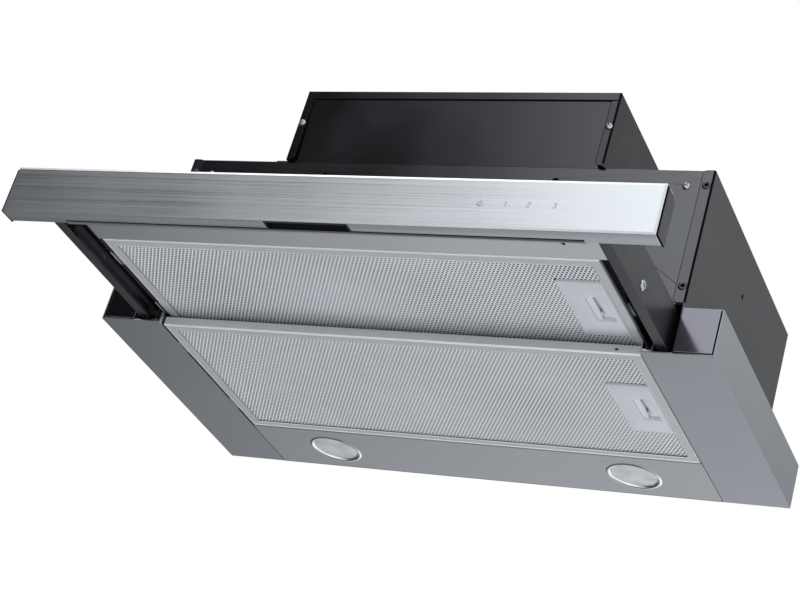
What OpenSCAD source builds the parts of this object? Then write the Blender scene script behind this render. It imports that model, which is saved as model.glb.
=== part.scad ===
// Telescopic range hood: a fixed body with side skirts under a wall cabinet,
// and a drawer with a front filter that pulls out towards the cook.
// +X is to the cook's right, +Y to the wall, +Z up.
// The origin is at the wall, in the middle of the underside.

/* [Overall] */
// Width over the two side skirts
hood_w = 598; // [560:1:640]
// Depth of the fixed part, from the wall to the front of the skirts
hood_d = 288; // [280:1:320]
// Height of the side skirts
skirt_h = 44; // [38:1:48]
// How far each skirt stands out past the body's side
skirt_out = 36; // [30:0.5:42]
// Height of the body's top above the underside
body_h = 182; // [176:1:210]
// Width of the motor box on top of the body
motor_w = 320; // [260:1:370]
// Height of the motor box above the body's top
motor_h = 79; // [72:1:100]

/* [Drawer] */
// How far the front stands out past each skirt
front_over = 2.5; // [0:0.5:12]
// Height of the front
fascia_h = 46; // [43:1:52]
// Depth of the front's folded lips
fascia_t = 16; // [14:0.5:18]
// How far the front stands before the skirts when the drawer is out
drawer_out = 183; // [120:1:190]
// Depth of the steel rail behind the front
rail_d = 43; // [30:1:50]
// Width of the finger pull
pull_w = 78; // [60:1:120]

/* [Filters] */
// Thickness of both filters
filter_h = 9.5; // [8.5:0.5:10]
// Width of the filters' rims
rim_w = 9.5; // [8:0.5:11]
// Length of the latch plates
latch_l = 85; // [60:1:95]

/* [Lamps] */
// Depth of the panel that holds the lamps
light_d = 79.5; // [70:0.5:90]
// Diameter of a lamp's ring
lamp_d = 53.5; // [48:0.5:60]
// From a lamp's centre to its end of the panel
lamp_in = 77.25; // [40:0.25:160]

/* [Air path] */
// Outer diameter of the duct collar
duct_d = 120; // [100:1:125]
// Height of the collar above the motor box
collar_h = 25; // [18:1:40]
// Diameter of the fan wheel
wheel_d = 140; // [110:1:150]
// Number of blades on the fan wheel
blades = 28; // [16:1:36]

/* [Sheet] */
// Thickness of the stainless sheet
skin_t = 1; // [0.8:0.1:1.2]
// Thickness of the painted sheet
sheet_t = 1; // [0.8:0.1:1.2]

/* [Hidden] */
$fn = 64;

// How far a cut runs past the face it opens
over = 1;
// Gap between fixed sheets that lie edge to edge
seam = 0.3;
// Gap between a moving piece and what guides it
glide = 0.4;
// Radial clearance of a pin or screw in its hole
fit = 0.05;

// Colours
paint_c = [0.16, 0.16, 0.18];
steel_c = [0.62, 0.64, 0.67];
bright_c = [0.86, 0.87, 0.9];
mesh_c = [0.7, 0.72, 0.75];
black_c = [0.05, 0.05, 0.06];
grey_c = [0.27, 0.27, 0.3];
white_c = [0.92, 0.93, 0.94];
zinc_c = [0.55, 0.56, 0.58];

// Half widths of the main pieces
hood_x = hood_w / 2;
body_x = hood_x - skirt_out;
body_w = 2 * body_x;
motor_x = motor_w / 2;

// From the body's side inwards: the drawer's arm, the guide, the shelf it stands on, the filter
arm_gap = 4;
guide_gap = 13;
shelf_out = 7.5;
tab_gap = 1.5;
arm_x = body_x - sheet_t - arm_gap;
guide_x = arm_x - sheet_t - guide_gap;
shelf_x = guide_x - sheet_t;
ledge_x = shelf_x - shelf_out;
filter_x = ledge_x - tab_gap;
filter_w = 2 * filter_x;

// The body's front panel stands back from the skirts, behind the side panels' flanges
flange_set = 2.5;
flange_w = 11;
flange_r = 4;
flange_y = -hood_d + flange_set;
panel_y = flange_y + sheet_t;
panel_in = panel_y + sheet_t;
// Height of the slot that the drawer comes through
slot_h = 49;
flange_z = slot_h + sheet_t;
panel_return = 12;

// The motor box stands a little proud of the skirts
motor_y = -hood_d - skin_t / 2;
motor_in = motor_y + sheet_t;
motor_top_z = body_h + motor_h;
motor_flange = 8;
motor_lip = 8;
motor_foot = 12;

// Filters: each hangs by tabs on its left side, on a ledge under its rim
tab_z = 1.4;
tab_t = 0.8;
tab_out = 6;
tab_l = 20;
tab_share = 0.22;
filter_set = 6.5;
filter_back = light_d + tab_gap / 3;
rear_y = -hood_d + filter_set;
rear_d = hood_d - filter_set - filter_back;

// Drawer front
fascia_x = hood_x + front_over;
fascia_w = 2 * fascia_x;
fascia_z = 2;
fascia_y = -hood_d - drawer_out;
fascia_in = fascia_y + fascia_t;
edge_c = 0.6;
edge_w = 2.2;
cap_t = 1.5;
cap_d = 19;
cap_set = 0.6;
cap_c = 2;
cap_drop = 2.7;
cap_slope = 2.5;
close_gap = 0.5;
travel = drawer_out - cap_d - close_gap;

// Drawer frame
front_z = 13;
rail_gap = 1.5;
rail_y = fascia_in + rail_d;
front_y = rail_y + rail_gap;
drawer_clear = 10.5;
front_end = -light_d - travel - drawer_clear;
front_d = front_end - front_y;
arm_z = 4.5;
arm_h = 38.5;
arm_top = arm_z + arm_h;
arm_foot = 9.5;
arm_shelf = 21;
arm_back = -travel - 9;
wall_x = ledge_x;
wall_back = front_end + rail_gap;
window_h = 6.5;
rail_side = 1.3;
rail_up = 24;
rail_fold = 5;
rail_nick_w = 10;
rail_nick_d = 16;

// Runners: a lipped channel on each arm, round a headed bar on each guide
run_z = arm_z + sheet_t;
run_h = 13.2;
run_w = 7;
run_t = 1;
run_lip = 3.5;
run_front = 30;
run_back = 11;
run_hole_r = 3;
run_holes_share = [0.28, 0.46, 0.56];
bar_end = 20;
guide_h = 17;
guide_foot = 12;
rail_x = shelf_x - rail_side;

// Skirts
end_in = 1;
end_seam = 1.3;
lip_h = 1.5;
clip_d = 7;
clip_h = 10;

// Lamp panel and lamps
light_up = 9;
light_tail = 12;
light_gap = 0.8;
lamp_x = ledge_x - lamp_in;
lamp_y = -light_d / 2;
ring_w = 4.3;
ring_t = 0.8;
sleeve_t = 2.4;
sleeve_h = 5;
lens_z = 1;
lens_t = 1.5;
can_h = 14;
can_fins = 5;
fin_t = 1.2;
fin_deep = 3;

// Fan
duct_r = duct_d / 2;
duct_wall = 2;
duct_shift = 15;
duct_y = -hood_d / 2 - duct_shift;
scroll_t = 1.5;
scroll_gap = 12;
scroll_in = motor_top_z - sheet_t;
outlet_w = duct_d - 2 * duct_wall + 2 * scroll_t - 2 * seam;
// The scroll fills the height above the drawer, or the depth to the back if that is less
scroll_r = min(scroll_in - scroll_gap - slot_h - 2 * sheet_t, outlet_w / 2 - duct_y - scroll_gap) / 2;
fan_y = duct_y + scroll_r - outlet_w / 2;
fan_z = scroll_in - scroll_gap - scroll_r;
wheel_r = wheel_d / 2;
blade_l = 14;
blade_t = 1.2;
blade_sweep = 24;
blade_steps = 4;
wheel_side = 9;
wheel_x = outlet_w / 2 - wheel_side;
wheel_plate = 3;
inlet_r = wheel_r - blade_l;
stator_r = 34;
stator_gap = 6;
shaft_r = 4;
shaft_l = 40;
bridge_t = 2;
bridge_w = 10;
bridge_over = 9;
well_gap = 12;

// Duct collar and its two flaps
collar_foot = 12;
collar_foot_t = 2;
collar_neck = 6;
ledge_w = 2.5;
ledge_t = 1;
ledge_up = 3;
flap_t = 1.2;
flap_pin_r = 1.2;
flap_off = 3;
flap_gap = 0.8;
flap_z = motor_top_z + ledge_up + ledge_t + glide + flap_t / 2;

// Electrical pieces under the body's top
box_w = 70;
box_l = 100;
box_h = 36;
box_lid = 3;
box_rim = 1.5;
box_side = 17;
box_front = 43.5;
box_x = body_x - box_side - box_w;
box_y = panel_in + box_front;
cap_r = 16;
can_l = 56;
can_side = 63;
can_front = 53.5;
can_x = can_side - body_x;
can_y = panel_in + can_front;
strap_w = 12;
strap_t = 1.5;
gland_r = 9.5;
gland_flange = 3.5;
gland_t = 2;
gland_deep = 6;
gland_bore_r = 4.5;
gland_x = -(motor_x + motor_foot + body_x) / 2;
gland_y = -42;
switch_l = 20;
switch_h = 10;
switch_y = -118;
switch_z = 8;
lever_l = 12;
lever_h = 3;
lever_up = 4;
lever_gap = 0.4;
lever_out = 0.8;

// Fixing holes: one in each side, and four in the top for screws into the cabinet
fix_r = 2.5;
side_fix_y = -150.5;
side_fix_z = 135.4;
top_fix_side = 33;
top_fix_in = 21.5;
top_fix_x = body_x - top_fix_side;
top_fix_front = panel_in + top_fix_in;
top_fix_back = -22;

// Screws and rivets
screw_r = 3.5;
screw_head = 2.2;
screw_shank_r = 1.9;
screw_l = 6;
slot_w = 0.8;
slot_deep = 0.8;
slot_share = 0.6;
rivet_r = 4.1;
rivet_head = 1.1;
rivet_shank_r = 2.2;
rivet_bore_r = 1.5;
rivet_l = 3.4;
arm_screw_r = 4.8;
arm_screw_head = 2.6;
panel_screw_in = 23.7;
panel_screw_drop = 16.2;
panel_screw_x = body_x - panel_screw_in;
panel_screw_z = body_h - panel_screw_drop;
peep_x = 117;
peep_drop = 14.3;
peep_r = 3.3;
rivet_x = body_x - flange_w / 2;
rivet_low = 16;
rivet_high = 15.5;
motor_screw_x = motor_x - motor_flange / 2;
motor_screw_up = 42.2;
motor_screw_z = body_h + motor_screw_up;
arm_screw_front = 84;
arm_screw_rear = 215;
arm_screw_at = [arm_screw_front, arm_screw_rear];
arm_screw_up = 3.5;
arm_screw_z = run_z + run_h / 2 + arm_screw_up;

// Finger pull and touch board
pull_d = fascia_t - 3 * sheet_t + skin_t / 2;
pull_h = 15;
pull_wall = 1.5;
pull_out = 0.3;
board_x = 138;
board_w = 88;
board_h = 24;
board_t = 3;
board_z = 13;

// Latches
latch_w = 39.5;
latch_in = latch_w + rim_w;
latch_set = 0.2;
pocket_l = 39;
pocket_w = 16.5;
pocket_from = 21.5;
pocket_deep = 6;
thumb_w = 9;
thumb_z = 0.6;
thumb_t = 4.8;
thumb_tab = 9;
thumb_tab_w = 7;
tongue_w = 20;
tongue_t = 2;
tongue_out = 5;
latch_stroke = 6;
drain_r = 1.3;
drain_in = 22;
drain_z = 4;

// A shape in the YZ plane, drawn as (y, z) and drawn out along +X
module along_x(length) {
    rotate([90, 0, 90])
        linear_extrude(length)
            children();
}

// A shape in the XZ plane, drawn as (x, z) and drawn out along +Y from y = from
module along_y(from, length) {
    translate([0, from + length, 0])
        rotate([90, 0, 0])
            linear_extrude(length)
                children();
}

// The same piece on the other side of the hood
module left() {
    mirror([1, 0, 0])
        children();
}

// A plain block from its low corner
module block(x, y, z, w, d, h) {
    translate([x, y, z])
        cube([w, d, h]);
}

// A round bar along Y, from y = from towards the wall
module y_bar(r, x, from, z, length) {
    translate([x, from + length, z])
        rotate([90, 0, 0])
            cylinder(r = r, h = length);
}

// A round bar along X, from x = from to the right
module x_bar(r, from, y, z, length) {
    translate([from, y, z])
        rotate([0, 90, 0])
            cylinder(r = r, h = length);
}

// A flange outline with its two inner corners rounded
module flange_outline(w, h, r) {
    translate([r, 0])
        square([w - r, h]);
    translate([0, r])
        square([w, h - 2 * r]);
    translate([r, r])
        circle(r);
    translate([r, h - r])
        circle(r);
}

// A pan-head screw, head towards -Y, with its seat at the origin
module screw(r, head) {
    difference() {
        union() {
            rotate([90, 0, 0])
                cylinder(r = r, h = head);
            translate([0, screw_l, 0])
                rotate([90, 0, 0])
                    cylinder(r = screw_shank_r, h = screw_l);
        }
        block(-slot_w / 2, -head - over, -r * slot_share, slot_w, over + slot_deep,
            2 * r * slot_share);
        block(-r * slot_share, -head - over, -slot_w / 2, 2 * r * slot_share, over + slot_deep,
            slot_w);
    }
}

// A blind rivet with its hollow shank, head towards -Y
module rivet() {
    difference() {
        union() {
            rotate([90, 0, 0])
                cylinder(r = rivet_r, h = rivet_head);
            translate([0, rivet_l, 0])
                rotate([90, 0, 0])
                    cylinder(r = rivet_shank_r, h = rivet_l);
        }
        translate([0, rivet_l - rivet_head, 0])
            rotate([90, 0, 0])
                cylinder(r = rivet_bore_r, h = rivet_l + over);
    }
}

// Right side panel: web, front flange, and bottom flange that stands on the skirt
module side_panel() {
    difference() {
        union() {
            block(body_x - sheet_t, flange_y, skin_t, sheet_t, -flange_y, body_h - skin_t);
            along_y(flange_y, sheet_t)
                translate([body_x - flange_w, flange_z])
                    flange_outline(flange_w, body_h - flange_z, flange_r);
            block(shelf_x, panel_y, skin_t, body_x - shelf_x, -panel_y - sheet_t, sheet_t);
        }
        x_bar(fix_r, body_x - sheet_t - over, side_fix_y, side_fix_z, sheet_t + 2 * over);
        for (z = [flange_z + rivet_low, body_h - rivet_high])
            y_bar(rivet_shank_r + fit, rivet_x, flange_y - over, z, sheet_t + 2 * over);
    }
}

module side_panel_right() {
    color(paint_c)
        side_panel();
}

module side_panel_left() {
    color(paint_c)
        left()
            side_panel();
}

// Front panel above the drawer's slot, with its lower edge turned in
module front_panel() {
    color(paint_c)
        difference() {
            union() {
                block(-body_x + sheet_t, panel_y, slot_h, body_w - 2 * sheet_t, sheet_t,
                    body_h - slot_h);
                block(-body_x + flange_w, panel_in, slot_h, body_w - 2 * flange_w, panel_return,
                    sheet_t);
            }
            for (side = [-1, 1]) {
                for (z = [flange_z + rivet_low, body_h - rivet_high])
                    y_bar(rivet_shank_r + fit, side * rivet_x, panel_y - over, z, sheet_t + 2 * over);
                y_bar(screw_shank_r + fit, side * panel_screw_x, panel_y - over, panel_screw_z,
                    sheet_t + 2 * over);
                y_bar(peep_r, side * peep_x, panel_y - over, body_h - peep_drop, sheet_t + 2 * over);
            }
        }
}

// Top of the body, open under the motor box
module top_panel() {
    color(paint_c)
        difference() {
            block(-body_x + sheet_t, panel_in, body_h - sheet_t, body_w - 2 * sheet_t,
                -panel_in - sheet_t, sheet_t);
            block(-outlet_w / 2 - well_gap, fan_y - scroll_r - well_gap / 2, body_h - sheet_t - over,
                outlet_w + 2 * well_gap, 2 * scroll_r + well_gap, sheet_t + 2 * over);
            for (x = [-top_fix_x, top_fix_x], y = [top_fix_front, top_fix_back])
                translate([x, y, body_h - sheet_t - over])
                    cylinder(r = fix_r, h = sheet_t + 2 * over);
            translate([gland_x, gland_y, body_h - sheet_t - over])
                cylinder(r = gland_r + seam, h = sheet_t + 2 * over);
        }
}

// One sheet closes the back of the body and of the motor box
module back_panel() {
    color(paint_c)
        along_y(-sheet_t, sheet_t) {
            translate([-body_x + sheet_t, skin_t])
                square([body_w - 2 * sheet_t, body_h - skin_t]);
            translate([-ledge_x + seam, 0])
                square([2 * ledge_x - 2 * seam, body_h]);
            translate([-motor_x + sheet_t, skin_t])
                square([motor_w - 2 * sheet_t, scroll_in - skin_t]);
        }
}

// Right side of the motor box: web, front flange, and foot on the body's top
module motor_side() {
    difference() {
        union() {
            block(motor_x - sheet_t, motor_y, body_h, sheet_t, -motor_y, scroll_in - body_h);
            along_y(motor_y, sheet_t)
                translate([motor_x - motor_flange, body_h + sheet_t])
                    flange_outline(motor_flange, motor_h - motor_lip - 2 * sheet_t, flange_r);
            block(motor_x - sheet_t, panel_y, body_h, motor_foot + sheet_t, -panel_y - flange_w,
                sheet_t);
        }
        y_bar(screw_shank_r + fit, motor_screw_x, motor_y - over, motor_screw_z, sheet_t + 2 * over);
    }
}

module motor_side_right() {
    color(paint_c)
        motor_side();
}

module motor_side_left() {
    color(paint_c)
        left()
            motor_side();
}

// Top of the motor box, with its front edge turned down and the duct's hole
module motor_top() {
    color(paint_c)
        difference() {
            union() {
                block(-motor_x, motor_y, scroll_in, motor_w, -motor_y, sheet_t);
                block(-motor_x + sheet_t, motor_y, motor_top_z - motor_lip, motor_w - 2 * sheet_t,
                    sheet_t, motor_lip);
            }
            translate([0, duct_y, scroll_in - over])
                cylinder(r = duct_r - duct_wall - seam, h = sheet_t + 2 * over);
        }
}

// Front of the motor box, behind the flanges, with a foot that rests on the body
module motor_front() {
    color(paint_c)
        difference() {
            union() {
                block(-motor_x + sheet_t, motor_in, body_h, motor_w - 2 * sheet_t, sheet_t,
                    scroll_in - body_h);
                block(-motor_x + sheet_t, motor_in, body_h, motor_w - 2 * sheet_t, panel_return,
                    sheet_t);
            }
            for (side = [-1, 1])
                y_bar(screw_shank_r + fit, side * motor_screw_x, motor_in - over, motor_screw_z,
                    sheet_t + 2 * over);
        }
}

// Collar for a round duct: foot on the motor box, neck into the scroll, ledge for the flaps
module duct_collar() {
    color(black_c)
        translate([0, duct_y, 0])
            difference() {
                rotate_extrude($fn = 96)
                    polygon([
                        [duct_r - 2 * duct_wall - seam - ledge_w, scroll_in - collar_neck],
                        [duct_r - duct_wall - 2 * seam, scroll_in - collar_neck],
                        [duct_r - duct_wall - 2 * seam, motor_top_z],
                        [duct_r + collar_foot, motor_top_z],
                        [duct_r + collar_foot, motor_top_z + collar_foot_t],
                        [duct_r, motor_top_z + collar_foot_t],
                        [duct_r, motor_top_z + collar_h],
                        [duct_r - duct_wall, motor_top_z + collar_h],
                        [duct_r - duct_wall, motor_top_z + ledge_up + ledge_t],
                        [duct_r - 2 * duct_wall - seam - ledge_w, motor_top_z + ledge_up + ledge_t]
                    ]);
                for (side = [-1, 1])
                    x_bar(flap_pin_r + fit, -duct_r - over, side * flap_off, flap_z, duct_d + 2 * over);
            }
}

// One of the two flaps that keep cold air out, with its pin; it lies towards the wall
module flap() {
    reach = duct_r - duct_wall - flap_gap;
    translate([0, flap_off, flap_z]) {
        intersection() {
            translate([0, -flap_off, -flap_t / 2])
                cylinder(r = reach, h = flap_t, $fn = 96);
            block(-reach, 0, -flap_t, 2 * reach, reach, 2 * flap_t);
        }
        x_bar(flap_pin_r, -duct_r + glide, 0, 0, duct_d - 2 * glide);
    }
}

module flap_back() {
    color(grey_c)
        translate([0, duct_y, 0])
            flap();
}

module flap_front() {
    color(grey_c)
        translate([0, duct_y, 0])
            mirror([0, 1, 0])
                flap();
}

// Right side skirt: folded steel with a closed front end and a lip under the drawer
module skirt() {
    along_y(-hood_d, hood_d) {
        translate([ledge_x, 0])
            square([hood_x - ledge_x, skin_t]);
        translate([hood_x - skin_t, 0])
            square([skin_t, skirt_h]);
        translate([body_x, skirt_h - skin_t])
            square([hood_x - body_x, skin_t]);
    }
    block(body_x + end_in, -hood_d, skin_t + end_seam, hood_x - skin_t - end_seam - body_x - end_in,
        skin_t, skirt_h - skin_t - end_seam);
    block(ledge_x, -hood_d, 0, body_x - ledge_x, skin_t, lip_h);
    block(ledge_x, -hood_d, 0, skin_t, clip_d, clip_h);
}

module skirt_right() {
    color(steel_c)
        skirt();
}

module skirt_left() {
    color(steel_c)
        left()
            skirt();
}

// Steel panel between the skirts, behind the rear filter, with the lamps' holes
module light_panel() {
    span = 2 * ledge_x - 2 * light_gap;
    color(steel_c)
        difference() {
            union() {
                block(-span / 2, -light_d, 0, span, light_d - sheet_t, skin_t);
                block(-span / 2, -light_d, 0, span, skin_t, light_up);
                block(-span / 2, -sheet_t - skin_t, 0, span, skin_t, light_tail);
            }
            for (side = [-1, 1])
                translate([side * lamp_x, lamp_y, -over])
                    cylinder(r = lamp_d / 2 - ring_w + sleeve_t + seam, h = skin_t + 2 * over);
        }
}

// A lamp's bright ring with its sleeve through the panel
module lamp_ring() {
    inner = lamp_d / 2 - ring_w;
    rotate_extrude($fn = 96)
        polygon([
            [inner, sleeve_h], [inner, ring_t], [inner + ring_t, -ring_t],
            [lamp_d / 2 - ring_t, -ring_t], [lamp_d / 2, 0], [inner + sleeve_t, 0], [inner + sleeve_t, sleeve_h]
        ]);
}

// The lamp's frosted lens, set back in the ring
module lamp_lens() {
    translate([0, 0, lens_z])
        cylinder(r = lamp_d / 2 - ring_w - seam / 2, h = lens_t, $fn = 96);
}

// The lamp's body above the lens, with cooling fins
module lamp_body() {
    inner = lamp_d / 2 - ring_w;
    translate([0, 0, lens_z + lens_t])
        cylinder(r = inner - seam / 2, h = sleeve_h - lens_z - lens_t);
    difference() {
        translate([0, 0, sleeve_h])
            cylinder(r = inner + sleeve_t, h = can_h);
        for (i = [1 : can_fins])
            block(-lamp_d, -inner + i * 2 * inner / (can_fins + 1) - fin_t / 2,
                sleeve_h + can_h - fin_deep, 2 * lamp_d, fin_t, fin_deep + over);
    }
}

module lamp_ring_right() {
    color(bright_c)
        translate([lamp_x, lamp_y, 0])
            lamp_ring();
}

module lamp_ring_left() {
    color(bright_c)
        translate([-lamp_x, lamp_y, 0])
            lamp_ring();
}

module lamp_lens_right() {
    color(white_c)
        translate([lamp_x, lamp_y, 0])
            lamp_lens();
}

module lamp_lens_left() {
    color(white_c)
        translate([-lamp_x, lamp_y, 0])
            lamp_lens();
}

module lamp_body_right() {
    color(grey_c)
        translate([lamp_x, lamp_y, 0])
            lamp_body();
}

module lamp_body_left() {
    color(grey_c)
        translate([-lamp_x, lamp_y, 0])
            lamp_body();
}

// Right guide: an angle on the body's bottom flange that carries the slide bar
module guide() {
    foot_z = skin_t + sheet_t;
    block(guide_x - sheet_t, panel_in, foot_z, sheet_t, -panel_in - sheet_t, guide_h);
    block(guide_x - sheet_t, panel_in, foot_z, guide_foot, -panel_in - sheet_t, sheet_t);
}

module guide_right() {
    color(zinc_c)
        guide();
}

module guide_left() {
    color(zinc_c)
        left()
            guide();
}

// Right slide bar: a neck on the guide and a head inside the runner
module slide_bar() {
    mouth = run_h - 2 * run_lip;
    head_x = arm_x - sheet_t - run_w + run_t + glide;
    head_w = run_w - 2 * run_t - 2 * glide;
    head_h = run_h - 2 * run_t - 2 * glide;
    along_y(panel_in + sheet_t, -panel_in - bar_end) {
        translate([guide_x, run_z + run_lip + glide])
            square([head_x - guide_x + glide, mouth - 2 * glide]);
        translate([head_x, run_z + run_t + glide])
            square([head_w, head_h]);
    }
}

module slide_bar_right() {
    color(zinc_c)
        slide_bar();
}

module slide_bar_left() {
    color(zinc_c)
        left()
            slide_bar();
}

// Outline of the scroll in the YZ plane, round the fan's axis, with its outlet upwards
module scroll_outline(wall, top) {
    circle(scroll_r - wall, $fn = 96);
    translate([-scroll_r + wall, 0])
        square([outlet_w - 2 * wall, top]);
}

// Wrap of the scroll round the fan wheel, open upwards at the outlet under the collar
module scroll() {
    color(grey_c)
        translate([-outlet_w / 2 + scroll_t, fan_y, fan_z])
            along_x(outlet_w - 2 * scroll_t)
                difference() {
                    scroll_outline(0, scroll_in - fan_z);
                    scroll_outline(scroll_t, scroll_in - fan_z + over);
                }
}

// Flat side of the scroll, with the round inlet
module scroll_side() {
    translate([outlet_w / 2 - scroll_t, fan_y, fan_z])
        along_x(scroll_t)
            difference() {
                scroll_outline(0, scroll_in - fan_z);
                circle(inlet_r, $fn = 96);
            }
}

module scroll_side_right() {
    color(grey_c)
        scroll_side();
}

module scroll_side_left() {
    color(grey_c)
        left()
            scroll_side();
}

// Motor in the wheel's right half, on three arms across the inlet
module motor() {
    reach = inlet_r + bridge_over;
    color(zinc_c)
        translate([0, fan_y, fan_z])
            difference() {
                union() {
                    x_bar(stator_r, stator_gap, 0, 0, outlet_w / 2 - stator_gap + bridge_t);
                    for (a = [30, 150, 270])
                        rotate([a, 0, 0])
                            block(outlet_w / 2, 0, -bridge_w / 2, bridge_t, reach, bridge_w);
                }
                x_bar(shaft_r + fit, stator_gap - over, 0, 0, shaft_l);
            }
}

// One blade's outline: an arc of constant thickness, swept forwards from its root
function blade_at(share, side) =
    let (
        r = inlet_r + blade_l * share,
        turn = blade_sweep * share * share,
        across = side * blade_t / 2
    ) [r * cos(turn) - across * sin(turn), r * sin(turn) + across * cos(turn)];

module blade_outline() {
    polygon(concat(
        [for (i = [0 : blade_steps]) blade_at(i / blade_steps, 1)],
        [for (i = [blade_steps : -1 : 0]) blade_at(i / blade_steps, -1)]
    ));
}

// Middle plate of the double-inlet fan wheel, with its shaft
module fan_wheel() {
    color(black_c)
        translate([0, fan_y, fan_z]) {
            x_bar(wheel_r, -wheel_plate, 0, 0, wheel_plate);
            x_bar(shaft_r, -wheel_plate, 0, 0, shaft_l);
        }
}

// Blades of one inlet from the middle plate outwards, held by a ring at their outer end
module fan_blades(length) {
    rim = blade_l / 3;
    translate([length - wheel_plate, 0, 0])
        along_x(wheel_plate)
            difference() {
                circle(wheel_r);
                circle(wheel_r - rim);
            }
    along_x(length)
        for (i = [0 : blades - 1])
            rotate(i * 360 / blades)
                blade_outline();
}

module fan_blades_right() {
    color(black_c)
        translate([0, fan_y, fan_z])
            fan_blades(wheel_x);
}

module fan_blades_left() {
    color(black_c)
        translate([-wheel_plate, fan_y, fan_z])
            left()
                fan_blades(wheel_x - wheel_plate);
}

// Box for the electronics, hung under the body's top
module control_box() {
    color(grey_c) {
        block(box_x, box_y, body_h - sheet_t - box_h, box_w, box_l, box_h);
        block(box_x + box_rim, box_y + box_rim, body_h - sheet_t - box_h - box_lid,
            box_w - 2 * box_rim, box_l - 2 * box_rim, box_lid);
    }
}

// Motor capacitor, strapped under the body's top
module capacitor() {
    z = body_h - sheet_t - strap_t - cap_r;
    color(white_c) {
        y_bar(cap_r, can_x, can_y, z, can_l);
        difference() {
            union() {
                y_bar(cap_r + strap_t, can_x, can_y + can_l / 2 - strap_w / 2, z, strap_w);
                block(can_x - cap_r - strap_t - strap_w, can_y + can_l / 2 - strap_w / 2,
                    body_h - sheet_t - strap_t, 2 * (cap_r + strap_t + strap_w), strap_w, strap_t);
            }
            y_bar(cap_r - strap_t, can_x, can_y, z, can_l);
        }
    }
}

// Bush where the supply cord enters
module cable_gland() {
    color(black_c)
        translate([gland_x, gland_y, body_h])
            rotate_extrude()
                polygon([
                    [gland_bore_r, -gland_deep], [gland_r, -gland_deep], [gland_r, 0],
                    [gland_r + gland_flange, 0], [gland_r + gland_flange, gland_t],
                    [gland_bore_r, gland_t]
                ]);
}

// Small switch on the right guide; the drawer's wall slides past its lever
module drawer_switch() {
    face = wall_x + sheet_t + lever_gap;
    color(black_c) {
        block(face + lever_out, switch_y, switch_z, shelf_x - face - lever_out, switch_l, switch_h);
        block(face, switch_y + (switch_l - lever_l) / 2, switch_z + lever_up, shelf_x - face,
            lever_l, lever_h);
    }
}

// Bright screws at the top of the front panel
module panel_screws() {
    color(bright_c)
        for (side = [-1, 1])
            translate([side * panel_screw_x, panel_y, panel_screw_z])
                screw(screw_r, screw_head);
}

// Bright screws through the motor box's front flanges
module motor_screws() {
    color(bright_c)
        for (side = [-1, 1])
            translate([side * motor_screw_x, motor_y, motor_screw_z])
                screw(screw_r, screw_head);
}

// Black rivets through the side panels' front flanges
module flange_rivets() {
    color(black_c)
        for (side = [-1, 1], z = [flange_z + rivet_low, body_h - rivet_high])
            translate([side * rivet_x, flange_y, z])
                rivet();
}

// Steel skin of the drawer's front, with folded lips and a shallow bevel round its face
module fascia() {
    top = fascia_z + fascia_h;
    end = fascia_x - cap_t;
    color(steel_c)
        difference() {
            translate([-end, 0, 0])
                along_x(2 * end)
                    polygon([
                        [fascia_y, fascia_z + edge_w], [fascia_y + edge_c, fascia_z],
                        [fascia_in, fascia_z], [fascia_in, fascia_z + skin_t],
                        [fascia_y + skin_t, fascia_z + skin_t], [fascia_y + skin_t, top - skin_t],
                        [fascia_in, top - skin_t], [fascia_in, top],
                        [fascia_y + edge_c, top], [fascia_y, top - edge_w]
                    ]);
            for (side = [0, 1])
                mirror([side, 0, 0])
                    translate([0, 0, fascia_z - over])
                        linear_extrude(fascia_h + 2 * over)
                            polygon([
                                [end - edge_w, fascia_y], [end - edge_w, fascia_y - over],
                                [end + over, fascia_y - over], [end + over, fascia_y + edge_c],
                                [end, fascia_y + edge_c]
                            ]);
            block(-pull_w / 2, fascia_in - sheet_t - pull_d, fascia_z - over, pull_w, pull_d,
                skin_t + 2 * over);
        }
}

// Painted sheet that closes the back of the drawer's front
module fascia_back() {
    color(paint_c)
        block(-fascia_x + cap_t, fascia_in - sheet_t, fascia_z + skin_t, fascia_w - 2 * cap_t,
            sheet_t, fascia_h - 2 * skin_t);
}

// Right end cap of the drawer's front, lower than the front and sloped down at the back
module end_cap() {
    low = fascia_z + cap_set / 2;
    top = fascia_z + fascia_h - cap_drop;
    front = fascia_y + cap_set;
    back = fascia_y + cap_d;
    translate([fascia_x - cap_t, 0, 0])
        along_x(cap_t)
            polygon([
                [front, low], [back - cap_c, low], [back, low + cap_c],
                [back, top - cap_slope - cap_c], [back - cap_c, top - cap_slope], [front, top]
            ]);
}

module end_cap_right() {
    color(grey_c)
        end_cap();
}

module end_cap_left() {
    color(grey_c)
        left()
            end_cap();
}

// Finger pull: a cup in the front's lower lip, open downwards
module finger_pull() {
    color(black_c)
        difference() {
            block(-pull_w / 2, fascia_in - sheet_t - pull_d, fascia_z - pull_out, pull_w, pull_d,
                pull_h);
            block(-pull_w / 2 + pull_wall, fascia_in - sheet_t - pull_d + pull_wall,
                fascia_z - pull_out - over, pull_w - 2 * pull_wall, pull_d - 2 * pull_wall,
                pull_h - pull_wall + over);
        }
}

// Board of the touch controls, behind the steel
module touch_board() {
    color(black_c)
        block(board_x, fascia_y + skin_t, fascia_z + board_z, board_w, board_t, board_h);
}

// Steel rail across the drawer, between the front and the filter
module front_rail() {
    color(steel_c)
        difference() {
            union() {
                block(-rail_x, fascia_in, front_z, 2 * rail_x, rail_d, skin_t);
                block(-rail_x, fascia_in, front_z, 2 * rail_x, skin_t, rail_up);
                block(-rail_x, rail_y - skin_t, front_z, 2 * rail_x, skin_t, rail_fold);
            }
            block(-rail_x - over, fascia_in + rail_nick_d, front_z - over, rail_nick_w / 2 + over,
                rail_d, skin_t + rail_fold + 2 * over);
        }
}

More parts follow.
